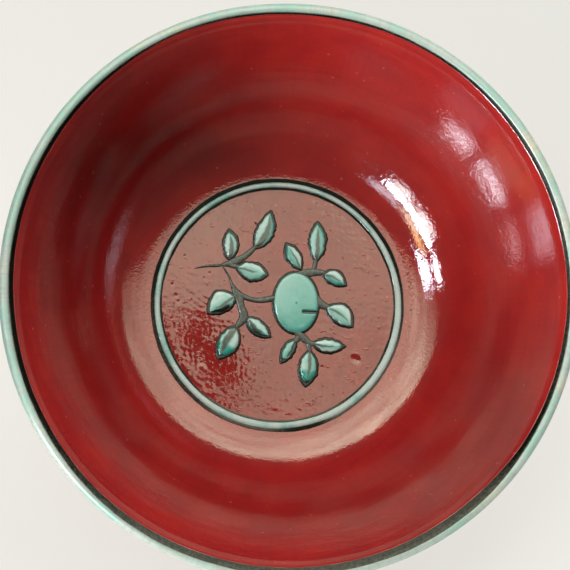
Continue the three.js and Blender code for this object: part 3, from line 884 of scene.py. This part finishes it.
def footCoat(top, bottom, thickness, rows=15):
    # a coat on the outside of the foot between two heights that are lines round it, domed by the eighth
    # power
    turn = allRound[None, :]
    share = np.linspace(0, 1, rows)[:, None]
    height = top + (bottom - top) * share
    lift = thickness * (1 - 0.8 * (2 * share - 1) ** 8)
    backHeight = top + (bottom - top) * np.linspace(1, 0, 4)[:, None]
    face = potted(footRadius(height) + lift, turn, height + 0 * turn)
    back = potted(footRadius(backHeight) + 0.02, turn, backHeight + 0 * turn)
    edge = np.exp(-np.minimum(share, 1 - share) * np.abs(bottom - top) / 0.2)
    marks = np.concatenate([edge + 0 * turn, np.ones((4, columnsRound))])
    return (*closedBody(np.concatenate([face, back])), {"edge": marks.ravel()})


footTurn = allRound[None, :]
lineBottom = footLineBottom + waver(footTurn, 43, 2, 40, 0.06)
bandBottom = footBandBottom + foot["bandClear"] + waver(footTurn, 45, 2, 30, 0.08)
footLine = footCoat(footLineTop + 0 * footTurn, lineBottom - foot["lap"], foot["lineCoat"])
footBand = footCoat(lineBottom + foot["lap"], bandBottom, foot["bandCoat"], 31)
addPiece("footLineBlack", [footLine], blackLine, "foot_line")
addPiece("footEnamel", [footBand], lipEnamel, "foot_band")


recess = dict(
    corner=1.4,      # mm, the rounding between the level glaze and the foot's
    coat=0.3,        # mm of glaze on the foot
    waves=0.02,      # mm by which the level glaze is uneven
)


def recessBody(columns=360):
    # glaze in the recess: level out from the axis, round a corner, down the foot to a wandering edge
    turn = turnsOf(columns)[None, :]
    level = footHeight - coats["thickness"]
    corner, coat = recess["corner"], recess["coat"]
    wall = footRadius(level - corner, True) - coat
    flat = np.linspace(0.2, wall - corner, 40)[:, None] + 0 * turn
    angle = np.linspace(0, np.pi / 2, 12)[:, None]
    roundR = wall - corner + corner * np.sin(angle) + 0 * turn
    roundZ = level - corner + corner * np.cos(angle) + 0 * turn
    bottom = foot["bareHeight"] + 0.05 + waver(turn, 51, 2, 30, 0.1)
    share = np.linspace(0, 1, 16)[1:, None]
    downZ = level - corner + (bottom - level + corner) * share
    downR = footRadius(downZ, True) - coat * (1 - 0.75 * share ** 6)
    uneven = recess["waves"] * ripples(flat * np.cos(turn), flat * np.sin(turn), 52, 3, 9)
    faceR = np.concatenate([flat, roundR[1:], downR])
    faceZ = np.concatenate([level + uneven * np.clip(wall - corner - flat, 0, 1), roundZ[1:], downZ])
    backZ = np.concatenate([downZ[-1:], np.full((1, columns), footTop)])
    backR = footRadius(backZ, True) - 0.04
    rings = np.concatenate([potted(faceR, turn, faceZ), potted(backR, turn, backZ)])
    pool = np.exp(-((faceR - wall + 0.5) / 1.5) ** 2 - ((faceZ - level + 0.5) / 1.5) ** 2)
    marks = np.concatenate([pool.ravel(), np.zeros(backR.size), [0.0, 0.0]])
    poles = [(0, 0, level), (0, 0, footTop)]
    return (*closedBody(rings, poles), {"pool": marks})


addPiece("recessEnamel", [recessBody()], recessGlaze, "base_glaze")
print("lines, bands and recess laid")


# fruiting branch
branch = dict(
    margin=4.0,           # mm of bare ground between the furthest tip and the ring
    slipRise=0.20,        # height of the drawing over the floor
    twigOver=0.06,        # mm that a twig stands higher
    slipEdge=0.12,        # mm over which the slip under a leaf rounds down at its edge
    twigEdge=0.18,        # and a twig
    enamelRise=0.30,      # height of a pad of enamel over the drawing
    border=0.52,          # slip left showing round the enamel
    jag=0.13,             # mm that a hand-drawn outline strays
    load=(1.2, 0.06),     # a twig's width is this many times the one given, less so many mm
    softEdge=0.26,        # mm over which a pad rounds down at its edge
    sink=0.06,            # mm that the underside of a stroke or a pad lies under its foot
    bedding=0.03,         # mm that the foot of a pad lies in the slip
)

# each leaf: base and tip, width left and right of the midrib, where its belly is, then how it is coloured:
# vein as place across (-1 left, 1 right), reach along and width in mm; pool of teal on the left and right
# and at the tip; ink on the left and right and at the tip, the left and right shares being painted shade
# along the leaf's darker side
leaves = [
    dict(base=(-10.0, 8.4), tip=(-10.0, 15.2), left=1.4, right=2.2, belly=0.5,
         vein=(0.15, 0.85, 0.75), pool=(0.2, 0.3, 0.0), ink=(0.0, 0.0, 0.5)),
    dict(base=(-4.9, 10.8), tip=(-1.4, 19.1), left=1.5, right=2.6, belly=0.46,
         vein=(0.25, 0.95, 0.95), pool=(0.1, 0.55, 0.0), ink=(0.0, 0.1, 0.2)),
    dict(base=(-8.9, 7.3), tip=(-1.9, 5.7), left=2.1, right=2.2, belly=0.56,
         vein=(0.0, 0.72, 0.42), pool=(0.0, 0.5, 0.0), ink=(0.0, 0.0, 0.0)),
    dict(base=(-8.3, 1.5), tip=(-14.4, -2.2), left=1.9, right=3.1, belly=0.46,
         vein=(-0.35, 0.8, 0.5), pool=(0.5, 0.1, 0.0), ink=(0.9, 0.0, 0.3)),
    dict(base=(-8.4, -4.2), tip=(-12.2, -11.3), left=2.7, right=2.0, belly=0.5,
         vein=(0.3, 0.95, 1.1), pool=(0.1, 0.4, 1.0), ink=(0.0, 0.2, 0.6)),
    dict(base=(-6.8, -2.6), tip=(-1.4, -6.9), left=1.6, right=1.8, belly=0.5,
         vein=(0.35, 0.8, 0.6), pool=(0.2, 0.9, 0.0), ink=(0.0, 0.7, 0.0)),
    dict(base=(4.7, 6.6), tip=(1.4, 12.5), left=1.8, right=1.7, belly=0.54,
         vein=(0.1, 0.85, 0.35), pool=(0.7, 0.0, 0.0), ink=(0.0, 0.0, 0.0)),
    dict(base=(7.5, 8.2), tip=(7.9, 17.0), left=1.8, right=2.2, belly=0.52,
         vein=(0.05, 0.9, 0.7), pool=(0.35, 0.6, 0.2), ink=(0.0, 0.0, 0.2)),
    dict(base=(8.6, 6.1), tip=(13.9, 3.6), left=2.3, right=1.3, belly=0.48,
         vein=(0.1, 0.85, 0.45), pool=(0.1, 0.75, 0.0), ink=(0.0, 0.2, 0.2)),
    dict(base=(9.2, -0.4), tip=(15.1, -4.8), left=3.0, right=1.6, belly=0.52,
         vein=(0.1, 0.85, 0.4), pool=(0.1, 0.4, 0.0), ink=(0.0, 0.0, 0.0)),
    dict(base=(6.5, -7.9), tip=(13.7, -8.5), left=1.5, right=1.9, belly=0.48,
         vein=(0.1, 0.75, 0.4), pool=(0.0, 0.1, 0.0), ink=(0.0, 0.0, 0.6)),
    dict(base=(3.6, -6.8), tip=(0.3, -12.1), left=1.4, right=1.5, belly=0.5,
         vein=(-0.6, 0.8, 0.4), pool=(0.4, 0.6, 0.2), ink=(0.3, 0.0, 0.9)),
    dict(base=(6.2, -8.9), tip=(5.3, -16.8), left=2.3, right=2.0, belly=0.52,
         vein=(-0.15, 0.85, 0.6), pool=(0.6, 0.2, 1.0), ink=(0.0, 0.0, 0.9)),
]

# twigs: points [x, y, width] along each, and how dark its left and right edges are: ink along both,
# and where one side is darker than the other, painted shade along that side
twigs = [
    ([[-17.0, 6.9, 0.25], [-14.2, 7.4, 0.45], [-11.4, 7.6, 0.7]], (0.2, 0.8)),
    ([[-11.9, 7.6, 0.5], [-9.2, 8.2, 1.4], [-6.6, 9.6, 1.1], [-4.2, 11.9, 0.9]], (0.3, 0.4)),
    ([[-10.4, 7.8, 0.9], [-7.6, 7.2, 1.0]], (0.2, 0.6)),
    ([[-11.3, 7.5, 0.4], [-9.9, 5.3, 0.4], [-9.3, 3.7, 0.6], [-8.3, 2.3, 1.0]], (0.4, 0.2)),
    ([[-9.5, 3.3, 0.6], [-8.1, 1.6, 1.6], [-7.5, -0.6, 1.3], [-7.0, -2.8, 1.6], [-8.7, -5.1, 1.1]],
     (0.7, 0.4)),
    ([[-7.9, 1.9, 1.2], [-5.8, 0.9, 0.9], [-3.4, 0.65, 1.0], [-0.2, 1.3, 1.3]], (0.1, 1.0)),
    ([[3.2, 6.0, 0.8], [5.6, 6.2, 1.5], [7.6, 6.4, 1.3], [9.6, 6.3, 1.0]], (0.2, 0.9)),
    ([[6.9, 6.3, 0.9], [7.4, 8.2, 0.9], [7.6, 9.8, 0.7]], (0.3, 0.3)),
    ([[7.5, 1.8, 1.0], [8.4, 0.1, 1.5], [10.4, -0.9, 1.1]], (0.3, 1.0)),
    ([[3.0, -5.5, 0.9], [4.6, -6.5, 1.4], [6.2, -7.8, 1.1], [7.8, -8.1, 0.9]], (0.5, 0.5)),
    ([[5.9, -7.4, 1.0], [6.3, -10.0, 0.8]], (0.5, 0.4)),
    ([[4.4, -6.2, 1.3], [3.1, -7.9, 0.9]], (0.6, 0.6)),
    ([[-4.3, 16.0, 0.5], [-4.9, 16.4, 0.3]], (1.0, 1.0)),
    ([[6.5, 12.3, 0.5], [5.7, 12.4, 0.3]], (1.0, 1.0)),
]

fruit = dict(middle=(3.5, 0.2), radii=(4.9, 6.5), cleft=((9.3, -1.8), (5.0, -1.6)), cleftWidth=0.36)

furthest = max(np.hypot(*leaf["tip"]) for leaf in leaves)
branchScale = (ringStart - branch["margin"]) / furthest
slipTop = floorLevel + branch["slipRise"]


def leafSides(leaf, inset, count=56):
    # both outlines of a leaf, from its base to its tip, as cubic curves whose handles stand out by 4/3 of
    # the width; an inset narrows it and draws its two ends in
    base, tip = np.array(leaf["base"]), np.array(leaf["tip"])
    length = tip - base
    ahead = length / np.hypot(*length)
    base, tip = base + ahead * inset * 1.2, tip - ahead * inset * 1.6
    length = tip - base
    side = np.array([ahead[1], -ahead[0]])
    low, high = leaf["belly"] - 0.25, leaf["belly"] + 0.22

    def outline(width):
        out = side * width * 4 / 3
        handles = base + length * low + out, base + length * high + out
        curve = bezier(base, *handles, tip, count) * branchScale
        astray = ripples(*curve.T, 61, 1.0, 3.0) * np.sin(np.linspace(0, np.pi, count)) ** 0.5
        return curve + side * branch["jag"] * astray[:, None]
    return outline(-(leaf["left"] - inset)), outline(leaf["right"] - inset)


def pillow(left, right, base, rise, soft, marksOf, across=17, under=5):
    # a body between two outlines that meet at both ends. Each row is a loop over the top and back
    # underneath; its height is the rise times one less e to the minus distance from the edge over the soft
    # width
    v = np.sin(np.linspace(-np.pi / 2, np.pi / 2, across))
    back = np.linspace(1, -1, under + 2)[1:-1]
    rows = len(left) - 2
    l, r = left[1:-1, None], right[1:-1, None]
    width = np.hypot(*(r - l)[:, 0].T)[:, None] / 2
    allAcross = np.concatenate([v, back])[None, :]
    flat = (l + r) / 2 + (r - l) / 2 * allAcross[..., None]
    away = width * (1 - np.abs(v))[None, :]
    top = base + rise * (1 - np.exp(-away / soft))
    low = np.full((rows, under), base - branch["sink"])
    points = np.concatenate([flat, np.concatenate([top, low], 1)[..., None]], -1)
    poles = [(*left[0], base - branch["sink"] / 2), (*left[-1], base - branch["sink"] / 2)]
    t = np.linspace(0, 1, len(left))[1:-1, None]
    marks = marksOf(t, allAcross, np.concatenate([away, 0 * low], 1))
    marks = {key: np.concatenate([(value + 0 * t).ravel(), [value.ravel()[0], value.ravel()[-1]]])
             for key, value in marks.items()}
    return (*closedBody(points, poles), marks)


def step(value, low, high):
    # S curve from 0 at low to 1 at high
    t = np.clip((value - low) / (high - low), 0, 1)
    return t * t * (3 - 2 * t)


def inkedAndShadedEdge(inkLeft, inkRight, whole=0.0, width=0.22):
    # slip is darkened along its edges, by its own share on the left and on the right: ink, and where the
    # two shares differ, painted shade along the darker side
    def marks(t, v, away):
        side = np.where(v < 0, inkLeft, inkRight)
        return {"ink": np.clip(whole + side * np.exp(-away / width), 0, 1)}
    return marks


def twigSides(points, count=36):
    # both outlines of a stroke whose middle is a Catmull-Rom curve and whose width rides on it
    p = np.array(points, float)
    p = np.concatenate([[2 * p[0] - p[1]], p, [2 * p[-1] - p[-2]]])
    u = np.linspace(0, len(p) - 3 - 1e-9, count)
    i = u.astype(int)
    t = (u - i)[:, None]
    a, b, c, d = p[i], p[i + 1], p[i + 2], p[i + 3]
    square, cube = 2 * a - 5 * b + 4 * c - d, 3 * b - a - 3 * c + d
    way = 0.5 * (2 * b + (c - a) * t + square * t ** 2 + cube * t ** 3)
    times, less = branch["load"]
    middle, width = way[:, :2] * branchScale, (way[:, 2:] * times - less) * branchScale
    ahead = np.gradient(middle, axis=0)
    ahead = ahead / np.hypot(*ahead.T)[:, None]
    side = np.stack([ahead[:, 1], -ahead[:, 0]], -1)
    share = np.linspace(-1, 1, count)[:, None]
    taper = np.sqrt(np.clip(1 - share ** 6, 0, 1))
    return middle - side * width * taper / 2, middle + side * width * taper / 2


def fromSegment(points, start, end):
    # distance of points from a straight piece of line
    start, end = np.array(start) * branchScale, np.array(end) * branchScale
    way = end - start
    t = np.clip(((points - start) @ way) / (way @ way), 0, 1)
    return np.hypot(*np.moveaxis(points - start - t[..., None] * way, -1, 0))


def fruitBody(inset, base, rise, soft, marksOf, columns=120, rows=40, cleft=False):
    # rows from the middle out to an ellipse, then two under it; height as for a pillow, less the cleft
    turn = turnsOf(columns)[None, :]
    share = np.sin(np.linspace(0.02, 1, rows) * np.pi / 2)[:, None]
    radii = np.array(fruit["radii"]) * branchScale - inset
    outline = radii * np.stack([np.cos(turn), np.sin(turn)], -1)
    middle = np.array(fruit["middle"]) * branchScale
    flat = middle + outline * share[..., None]
    away = np.hypot(*np.moveaxis(outline, -1, 0)) * (1 - share)
    top = rise * (1 - np.exp(-away / soft)) * (1 - 0.2 * share ** 2)
    notch = np.exp(-(fromSegment(flat, *fruit["cleft"]) / fruit["cleftWidth"]) ** 4) if cleft else 0 * top
    face = np.concatenate([flat, (base + top * (1 - 0.9 * notch))[..., None]], -1)
    lowFlat = middle + outline * np.array([1.0, 0.5])[:, None, None]
    low = np.concatenate([lowFlat, np.full((2, columns, 1), base - branch["sink"])], -1)
    poles = [(*middle, face[0, :, 2].mean()), (*middle, base - branch["sink"])]
    marks = marksOf(flat - middle, away, notch)
    marks = {key: np.concatenate([value.ravel(), np.zeros(2 * columns), [value[0].mean(), 0]])
             for key, value in marks.items()}
    return (*closedBody(np.concatenate([face, low]), poles), marks)


def drawBranch():
    # the slip under each leaf and under the fruit, and the twigs
    bodies = []
    for leaf in leaves:
        left, right = leafSides(leaf, 0.0)
        marks = inkedAndShadedEdge(1.0, 1.0, 0.35, 0.34)
        bodies.append(pillow(left, right, floorLevel, branch["slipRise"], branch["slipEdge"], marks, 21))
    # a twig whose left and right shares differ gets painted shade along its darker edge
    for points, (inkLeft, inkRight) in twigs:
        left, right = twigSides(points)
        rise, marks = branch["slipRise"] + branch["twigOver"], inkedAndShadedEdge(inkLeft, inkRight)
        bodies.append(pillow(left, right, floorLevel, rise, branch["twigEdge"], marks))

    def plate(flat, away, notch):
        return {"ink": np.clip(0.55 + 0.45 * np.exp(-away / 0.4), 0, 1)}
    bodies.append(fruitBody(0.0, floorLevel, branch["slipRise"], branch["slipEdge"], plate))
    return bodies


def leafMarks(leaf):
    # where the midrib shows through the enamel, and where the enamel has pooled or been inked over; the
    # inking along one side of a leaf is painted shade
    place, reach, veinWidth = leaf["vein"]
    half = (leaf["left"] + leaf["right"]) / 2 - branch["border"]

    def marks(t, v, away):
        belly = np.sin(np.pi * np.clip(t, 0.02, 0.98)) ** 0.4
        width = veinWidth * 0.8 / half * (1 - (t / reach) ** 2 * 0.75) / belly
        centre = place * np.sin(np.pi * np.clip(t * 0.9 + 0.05, 0, 1))
        vein = 1 - step(np.abs(v - centre) / width, 0.65, 1.25)
        vein = vein * (1 - step(t, reach - 0.1, reach + 0.05))
        leftPool, rightPool, tipPool = leaf["pool"]
        leftInkAndShade, rightInkAndShade, tipInk = leaf["ink"]
        sides = np.where(v < centre, leftPool, rightPool)
        pool = sides * step(np.abs(v - centre), 0.0, 0.3) * (0.55 + 0.45 * t)
        pool = np.maximum(pool, tipPool * step(t, 0.45, 0.7)) + 0.35 * np.exp(-away / 0.15)
        # near black along a leaf's darker side as painted shade, and towards its tip
        ink = np.where(v < centre, leftInkAndShade * step(-v, 0.1, 0.75), rightInkAndShade * step(v, 0.1, 0.75))
        ink = np.maximum(ink * step(t, 0.1, 0.5), tipInk * step(t, 0.72, 0.98))
        pale = (1 - sides) * step(np.abs(v - centre), 0.2, 0.7)
        pool, ink = np.clip(pool, 0, 1), np.clip(ink, 0, 1) + 0 * v
        return {"vein": vein * 0.95, "pool": pool, "ink": ink, "pale": pale}
    return marks


def fruitMarks(flat, away, notch):
    # even turquoise, a little paler at the upper left and pooled to teal below, with an inked cleft
    x, y = flat[..., 0], flat[..., 1]
    pool = 0.22 + 0.3 * step(-y + 0.35 * x, -2.0, 4.5) + 0.12 * step(x, -1.5, 2.0)
    pool = pool + 0.2 * np.exp(-away / 0.2)
    pale = 0.25 * step(y - 0.8 * x, 1.0, 6.0)
    return {"vein": 0 * x, "pool": np.clip(pool, 0, 1), "ink": step(notch, 0.25, 0.7), "pale": pale}


addPiece("slipBranch", drawBranch(), slipPaint, "branch_drawing")
padFoot, padRise, padEdge = slipTop - branch["bedding"], branch["enamelRise"], branch["softEdge"]
for i, leaf in enumerate(leaves, 1):
    left, right = leafSides(leaf, branch["border"])
    body = pillow(left, right, padFoot, padRise, padEdge, leafMarks(leaf), 31)
    addPiece(f"leafEnamel{i:02d}", [body], leafEnamel, f"leaf_{i:02d}")
fruitPad = fruitBody(branch["border"], padFoot, padRise, padEdge, fruitMarks, 180, 80, True)
addPiece("fruitEnamel", [fruitPad], leafEnamel, "fruit")
print("branch drawn")


# floor, light and camera
studio = dict(
    floor="#7D7C79",
    floorGlow=0.62, floorGlowColour="#FFFDF6",
    floorRadius=6000, floorGap=0.02,  # mm, the gap under the foot
    backdrop=0.84,             # what the camera sees past the floor, as linear grey
    backdropColour="#FFFEFA",
    # what glossy glaze mirrors: a sky where two halves of the room overlap, brighter to one side, down to
    # a sill
    skyMiddle=3.4, skySlope=5.5, skyBrightest=120,
    # azimuth and elevation of each half's middle, and the softness of its edge
    skySides=[(90, 1.2, 0.03), (52, 18, 0.3)],
    skySill=(30, 36),          # degrees of elevation between which it fades
    skyMottle=(0.14, 0.45),    # its small unevennesses: size in radians, share of the whole
    skyColour="#FAFFE2",
    room=0.20,                 # radiance of the rest of the room
    # soft sources of diffuse light: azimuth, elevation, width, height, radiance
    lamps=[
        (234, 18, 450, 664, 34),
        (74, 49, 500, 400, 9.0),
        (131, 62, 1190, 498, 8.0),
        (50, 14, 2400, 250, 9.5),
    ],
    # window panes that only gloss mirrors: the same, and colour
    panes=[
        (187, 33, 200, 170, 70, "#F0F5FF"),
        (186, 51, 210, 380, 60, "#E6F0FF"),
        (199, 46, 120, 200, 18, "#FFC87A"),
        (205, 33, 290, 180, 190, "#F0F5FF"),
        (206, 23, 270, 260, 24, "#F6F5F5"),
        (208, 43, 240, 200, 16, "#FFE9C8"),
        (222, 33, 240, 180, 200, "#F0F5FF"),
        (221, 23, 250, 240, 22, "#F6F5F5"),
        (226, 45, 300, 240, 11, "#E6F0FF"),
    ],
    lampDistance=1500,         # mm
    # a shade across the low light keeps it from part of the wall: places beside the light's line and
    # heights, at an azimuth and a distance from the axis
    shadeOutline=[(20, 30), (21, 49), (32, 61), (44, 77), (58, 100), (170, 120), (170, 30)],
    shadeAt=(234, 75),
    # the card beside the lens: its corners, and its height
    cardOutline=[
        (-22, 19.5), (-9, 20), (-1.5, 9), (5.5, 0), (3.5, -14.5), (-1.5, -12.5), (-10.5, -6.5), (-17, 2),
    ],
    cardHeight=240,
)


def towards(azimuth, elevation):
    # unit vector to a point of the sky
    a, e = np.radians(azimuth), np.radians(elevation)
    return np.array([np.cos(a) * np.cos(e), np.sin(a) * np.cos(e), np.sin(e)])


def addPlate(name, points, finish):
    # a flat sheet of the studio through some points, of one finish all over
    material, tree, _ = startMaterial(name)
    addNode(tree, "OutputMaterial", {"Surface": addNode(tree, "BsdfPrincipled", finish)})
    mesh = bpy.data.meshes.new(name)
    mesh.from_pydata((np.array(points) * mm).tolist(), [], [tuple(range(len(points)))])
    mesh.materials.append(material)
    plate = bpy.data.objects.new(name, mesh)
    bpy.context.scene.collection.objects.link(plate)
    return plate


def makeFloor():
    # a pale matt table top that glows a little, so that no hard shadow lies round the cup
    turn = turnsOf(96)
    rim = np.stack([np.cos(turn), np.sin(turn), 0 * turn], -1) * studio["floorRadius"]
    addPlate("floor", rim - (0, 0, studio["floorGap"]), {
        "Base Color": studio["floor"], "Roughness": 0.8, "Specular IOR Level": 0.0,
        "Emission Color": studio["floorGlowColour"], "Emission Strength": studio["floorGlow"],
    })


def makeCards():
    # two black cards that the camera doesn't see: one beside the lens, which the well mirrors as a dark
    # patch, and the shade for the wall, which gloss doesn't see either
    black = {"Base Color": "#0A0A0A", "Roughness": 0.9}
    card = addPlate("lensCard", [(x, y, studio["cardHeight"]) for x, y in studio["cardOutline"]], black)
    azimuth, distance = studio["shadeAt"]
    ahead, beside = towards(azimuth, 0), towards(azimuth + 90, 0)
    outline = [ahead * distance - beside * u + (0, 0, z) for u, z in studio["shadeOutline"]]
    shade = addPlate("shadeCard", outline, black)
    card.visible_camera = shade.visible_camera = False
    shade.visible_glossy = shade.visible_diffuse = False


def makeWorld():
    # what the glaze mirrors: a bright part of the room and a dim rest. Diffuse light comes from the lamps
    # alone
    world = bpy.data.worlds.new("room")
    bpy.context.scene.world = world
    world.use_nodes = True
    world.cycles_visibility.diffuse = False
    tree = world.node_tree
    tree.nodes.clear()
    direction = addNode(tree, "TexCoord", output="Generated")
    brightest = tuple(towards(studio["skyBrightest"], 0))
    slope = addNode(tree, "VectorMath", [direction, brightest], "Value", operation="DOT_PRODUCT")
    slope = addNode(tree, "Math", [slope, studio["skySlope"]], operation="MULTIPLY")
    level = addNode(tree, "Math", [slope, studio["skyMiddle"]], operation="ADD")
    level = addNode(tree, "Math", [level, studio["room"]], operation="MAXIMUM")
    edges = [((0, 0, 1), *np.sin(np.radians(studio["skySill"])))]
    for azimuth, elevation, soft in studio["skySides"]:
        edges.append((tuple(towards(azimuth, elevation)), -soft, soft))
    for side, low, high in edges:
        # cosine of the angle to one side of the room, and the share of the light that its edge lets through
        share = addNode(tree, "VectorMath", [direction, side], "Value", operation="DOT_PRODUCT")
        share = addNode(tree, "MapRange", [share, low, high], **sCurve)
        level = addNode(tree, "Math", [level, share], operation="MULTIPLY")
    strength = addNode(tree, "Math", [level, studio["room"]], operation="ADD")
    size, share = studio["skyMottle"]
    uneven = {"Vector": direction, "Scale": 1 / size, "Detail": 6.0, "Roughness": 0.7}
    uneven = addNode(tree, "TexNoise", uneven)
    uneven = addNode(tree, "MapRange", [uneven, 0.3, 0.7, 1 - share, 1 + share], **sCurve)
    strength = addNode(tree, "Math", [strength, uneven], operation="MULTIPLY")
    light = addNode(tree, "Background", {"Color": studio["skyColour"], "Strength": strength})
    plain = {"Color": studio["backdropColour"], "Strength": studio["backdrop"]}
    plain = addNode(tree, "Background", plain)
    seen = addNode(tree, "LightPath", output="Is Camera Ray")
    addNode(tree, "OutputWorld", {"Surface": addNode(tree, "MixShader", [seen, light, plain])})


def addLamp(name, azimuth, elevation, width, height, radiance, colour=None):
    # a rectangle that faces the cup; its power is radiance times pi times its area. One with a colour is
    # seen in gloss alone, one without lights what is matt alone
    lamp = bpy.data.lights.new(name, "AREA")
    lamp.shape = "RECTANGLE"
    lamp.size, lamp.size_y = width * mm, height * mm
    lamp.energy = radiance * np.pi * lamp.size * lamp.size_y
    source = bpy.data.objects.new(name, lamp)
    way = Vector(towards(azimuth, elevation))
    source.location = way * studio["lampDistance"] * mm
    source.rotation_euler = way.to_track_quat("Z", "Y").to_euler()
    if colour:
        lamp.color = colourOf(colour)[:3]
    source.visible_camera = False
    source.visible_glossy = colour is not None
    source.visible_diffuse = colour is None
    bpy.context.scene.collection.objects.link(source)


def makeLamps():
    # the softboxes and the window panes, from their tables
    for i, lamp in enumerate(studio["lamps"], 1):
        addLamp(f"softbox{i}", *lamp)
    for i, pane in enumerate(studio["panes"], 1):
        addLamp(f"pane{i}", *pane)


view = dict(
    azimuth=232.66, elevation=81.58,                # degrees, from the target to the lens
    distance=200, target=(-1.85, -0.34, 45),        # mm
    lens=74.12, sensor=36,                          # mm
)


def makeCamera():
    # looks at the target from its azimuth and elevation, with +Y upwards in the picture
    data = bpy.data.cameras.new("camera")
    data.lens, data.sensor_width = view["lens"], view["sensor"]
    data.clip_start, data.clip_end = 0.005, 20
    camera = bpy.data.objects.new("camera", data)
    back = Vector(towards(view["azimuth"], view["elevation"]))
    up = Vector((0, 1, 0)) - back * back.y
    up.normalize()
    right = up.cross(back)
    place = (Vector(view["target"]) + back * view["distance"]) * mm
    camera.matrix_world = Matrix((
        (right.x, up.x, back.x, place.x),
        (right.y, up.y, back.y, place.y),
        (right.z, up.z, back.z, place.z),
        (0, 0, 0, 1),
    ))
    bpy.context.scene.collection.objects.link(camera)
    bpy.context.scene.camera = camera


makeFloor()
makeCards()
makeWorld()
makeLamps()
makeCamera()
bpy.context.scene.view_settings.view_transform = "Standard"
print("floor, light and camera set")
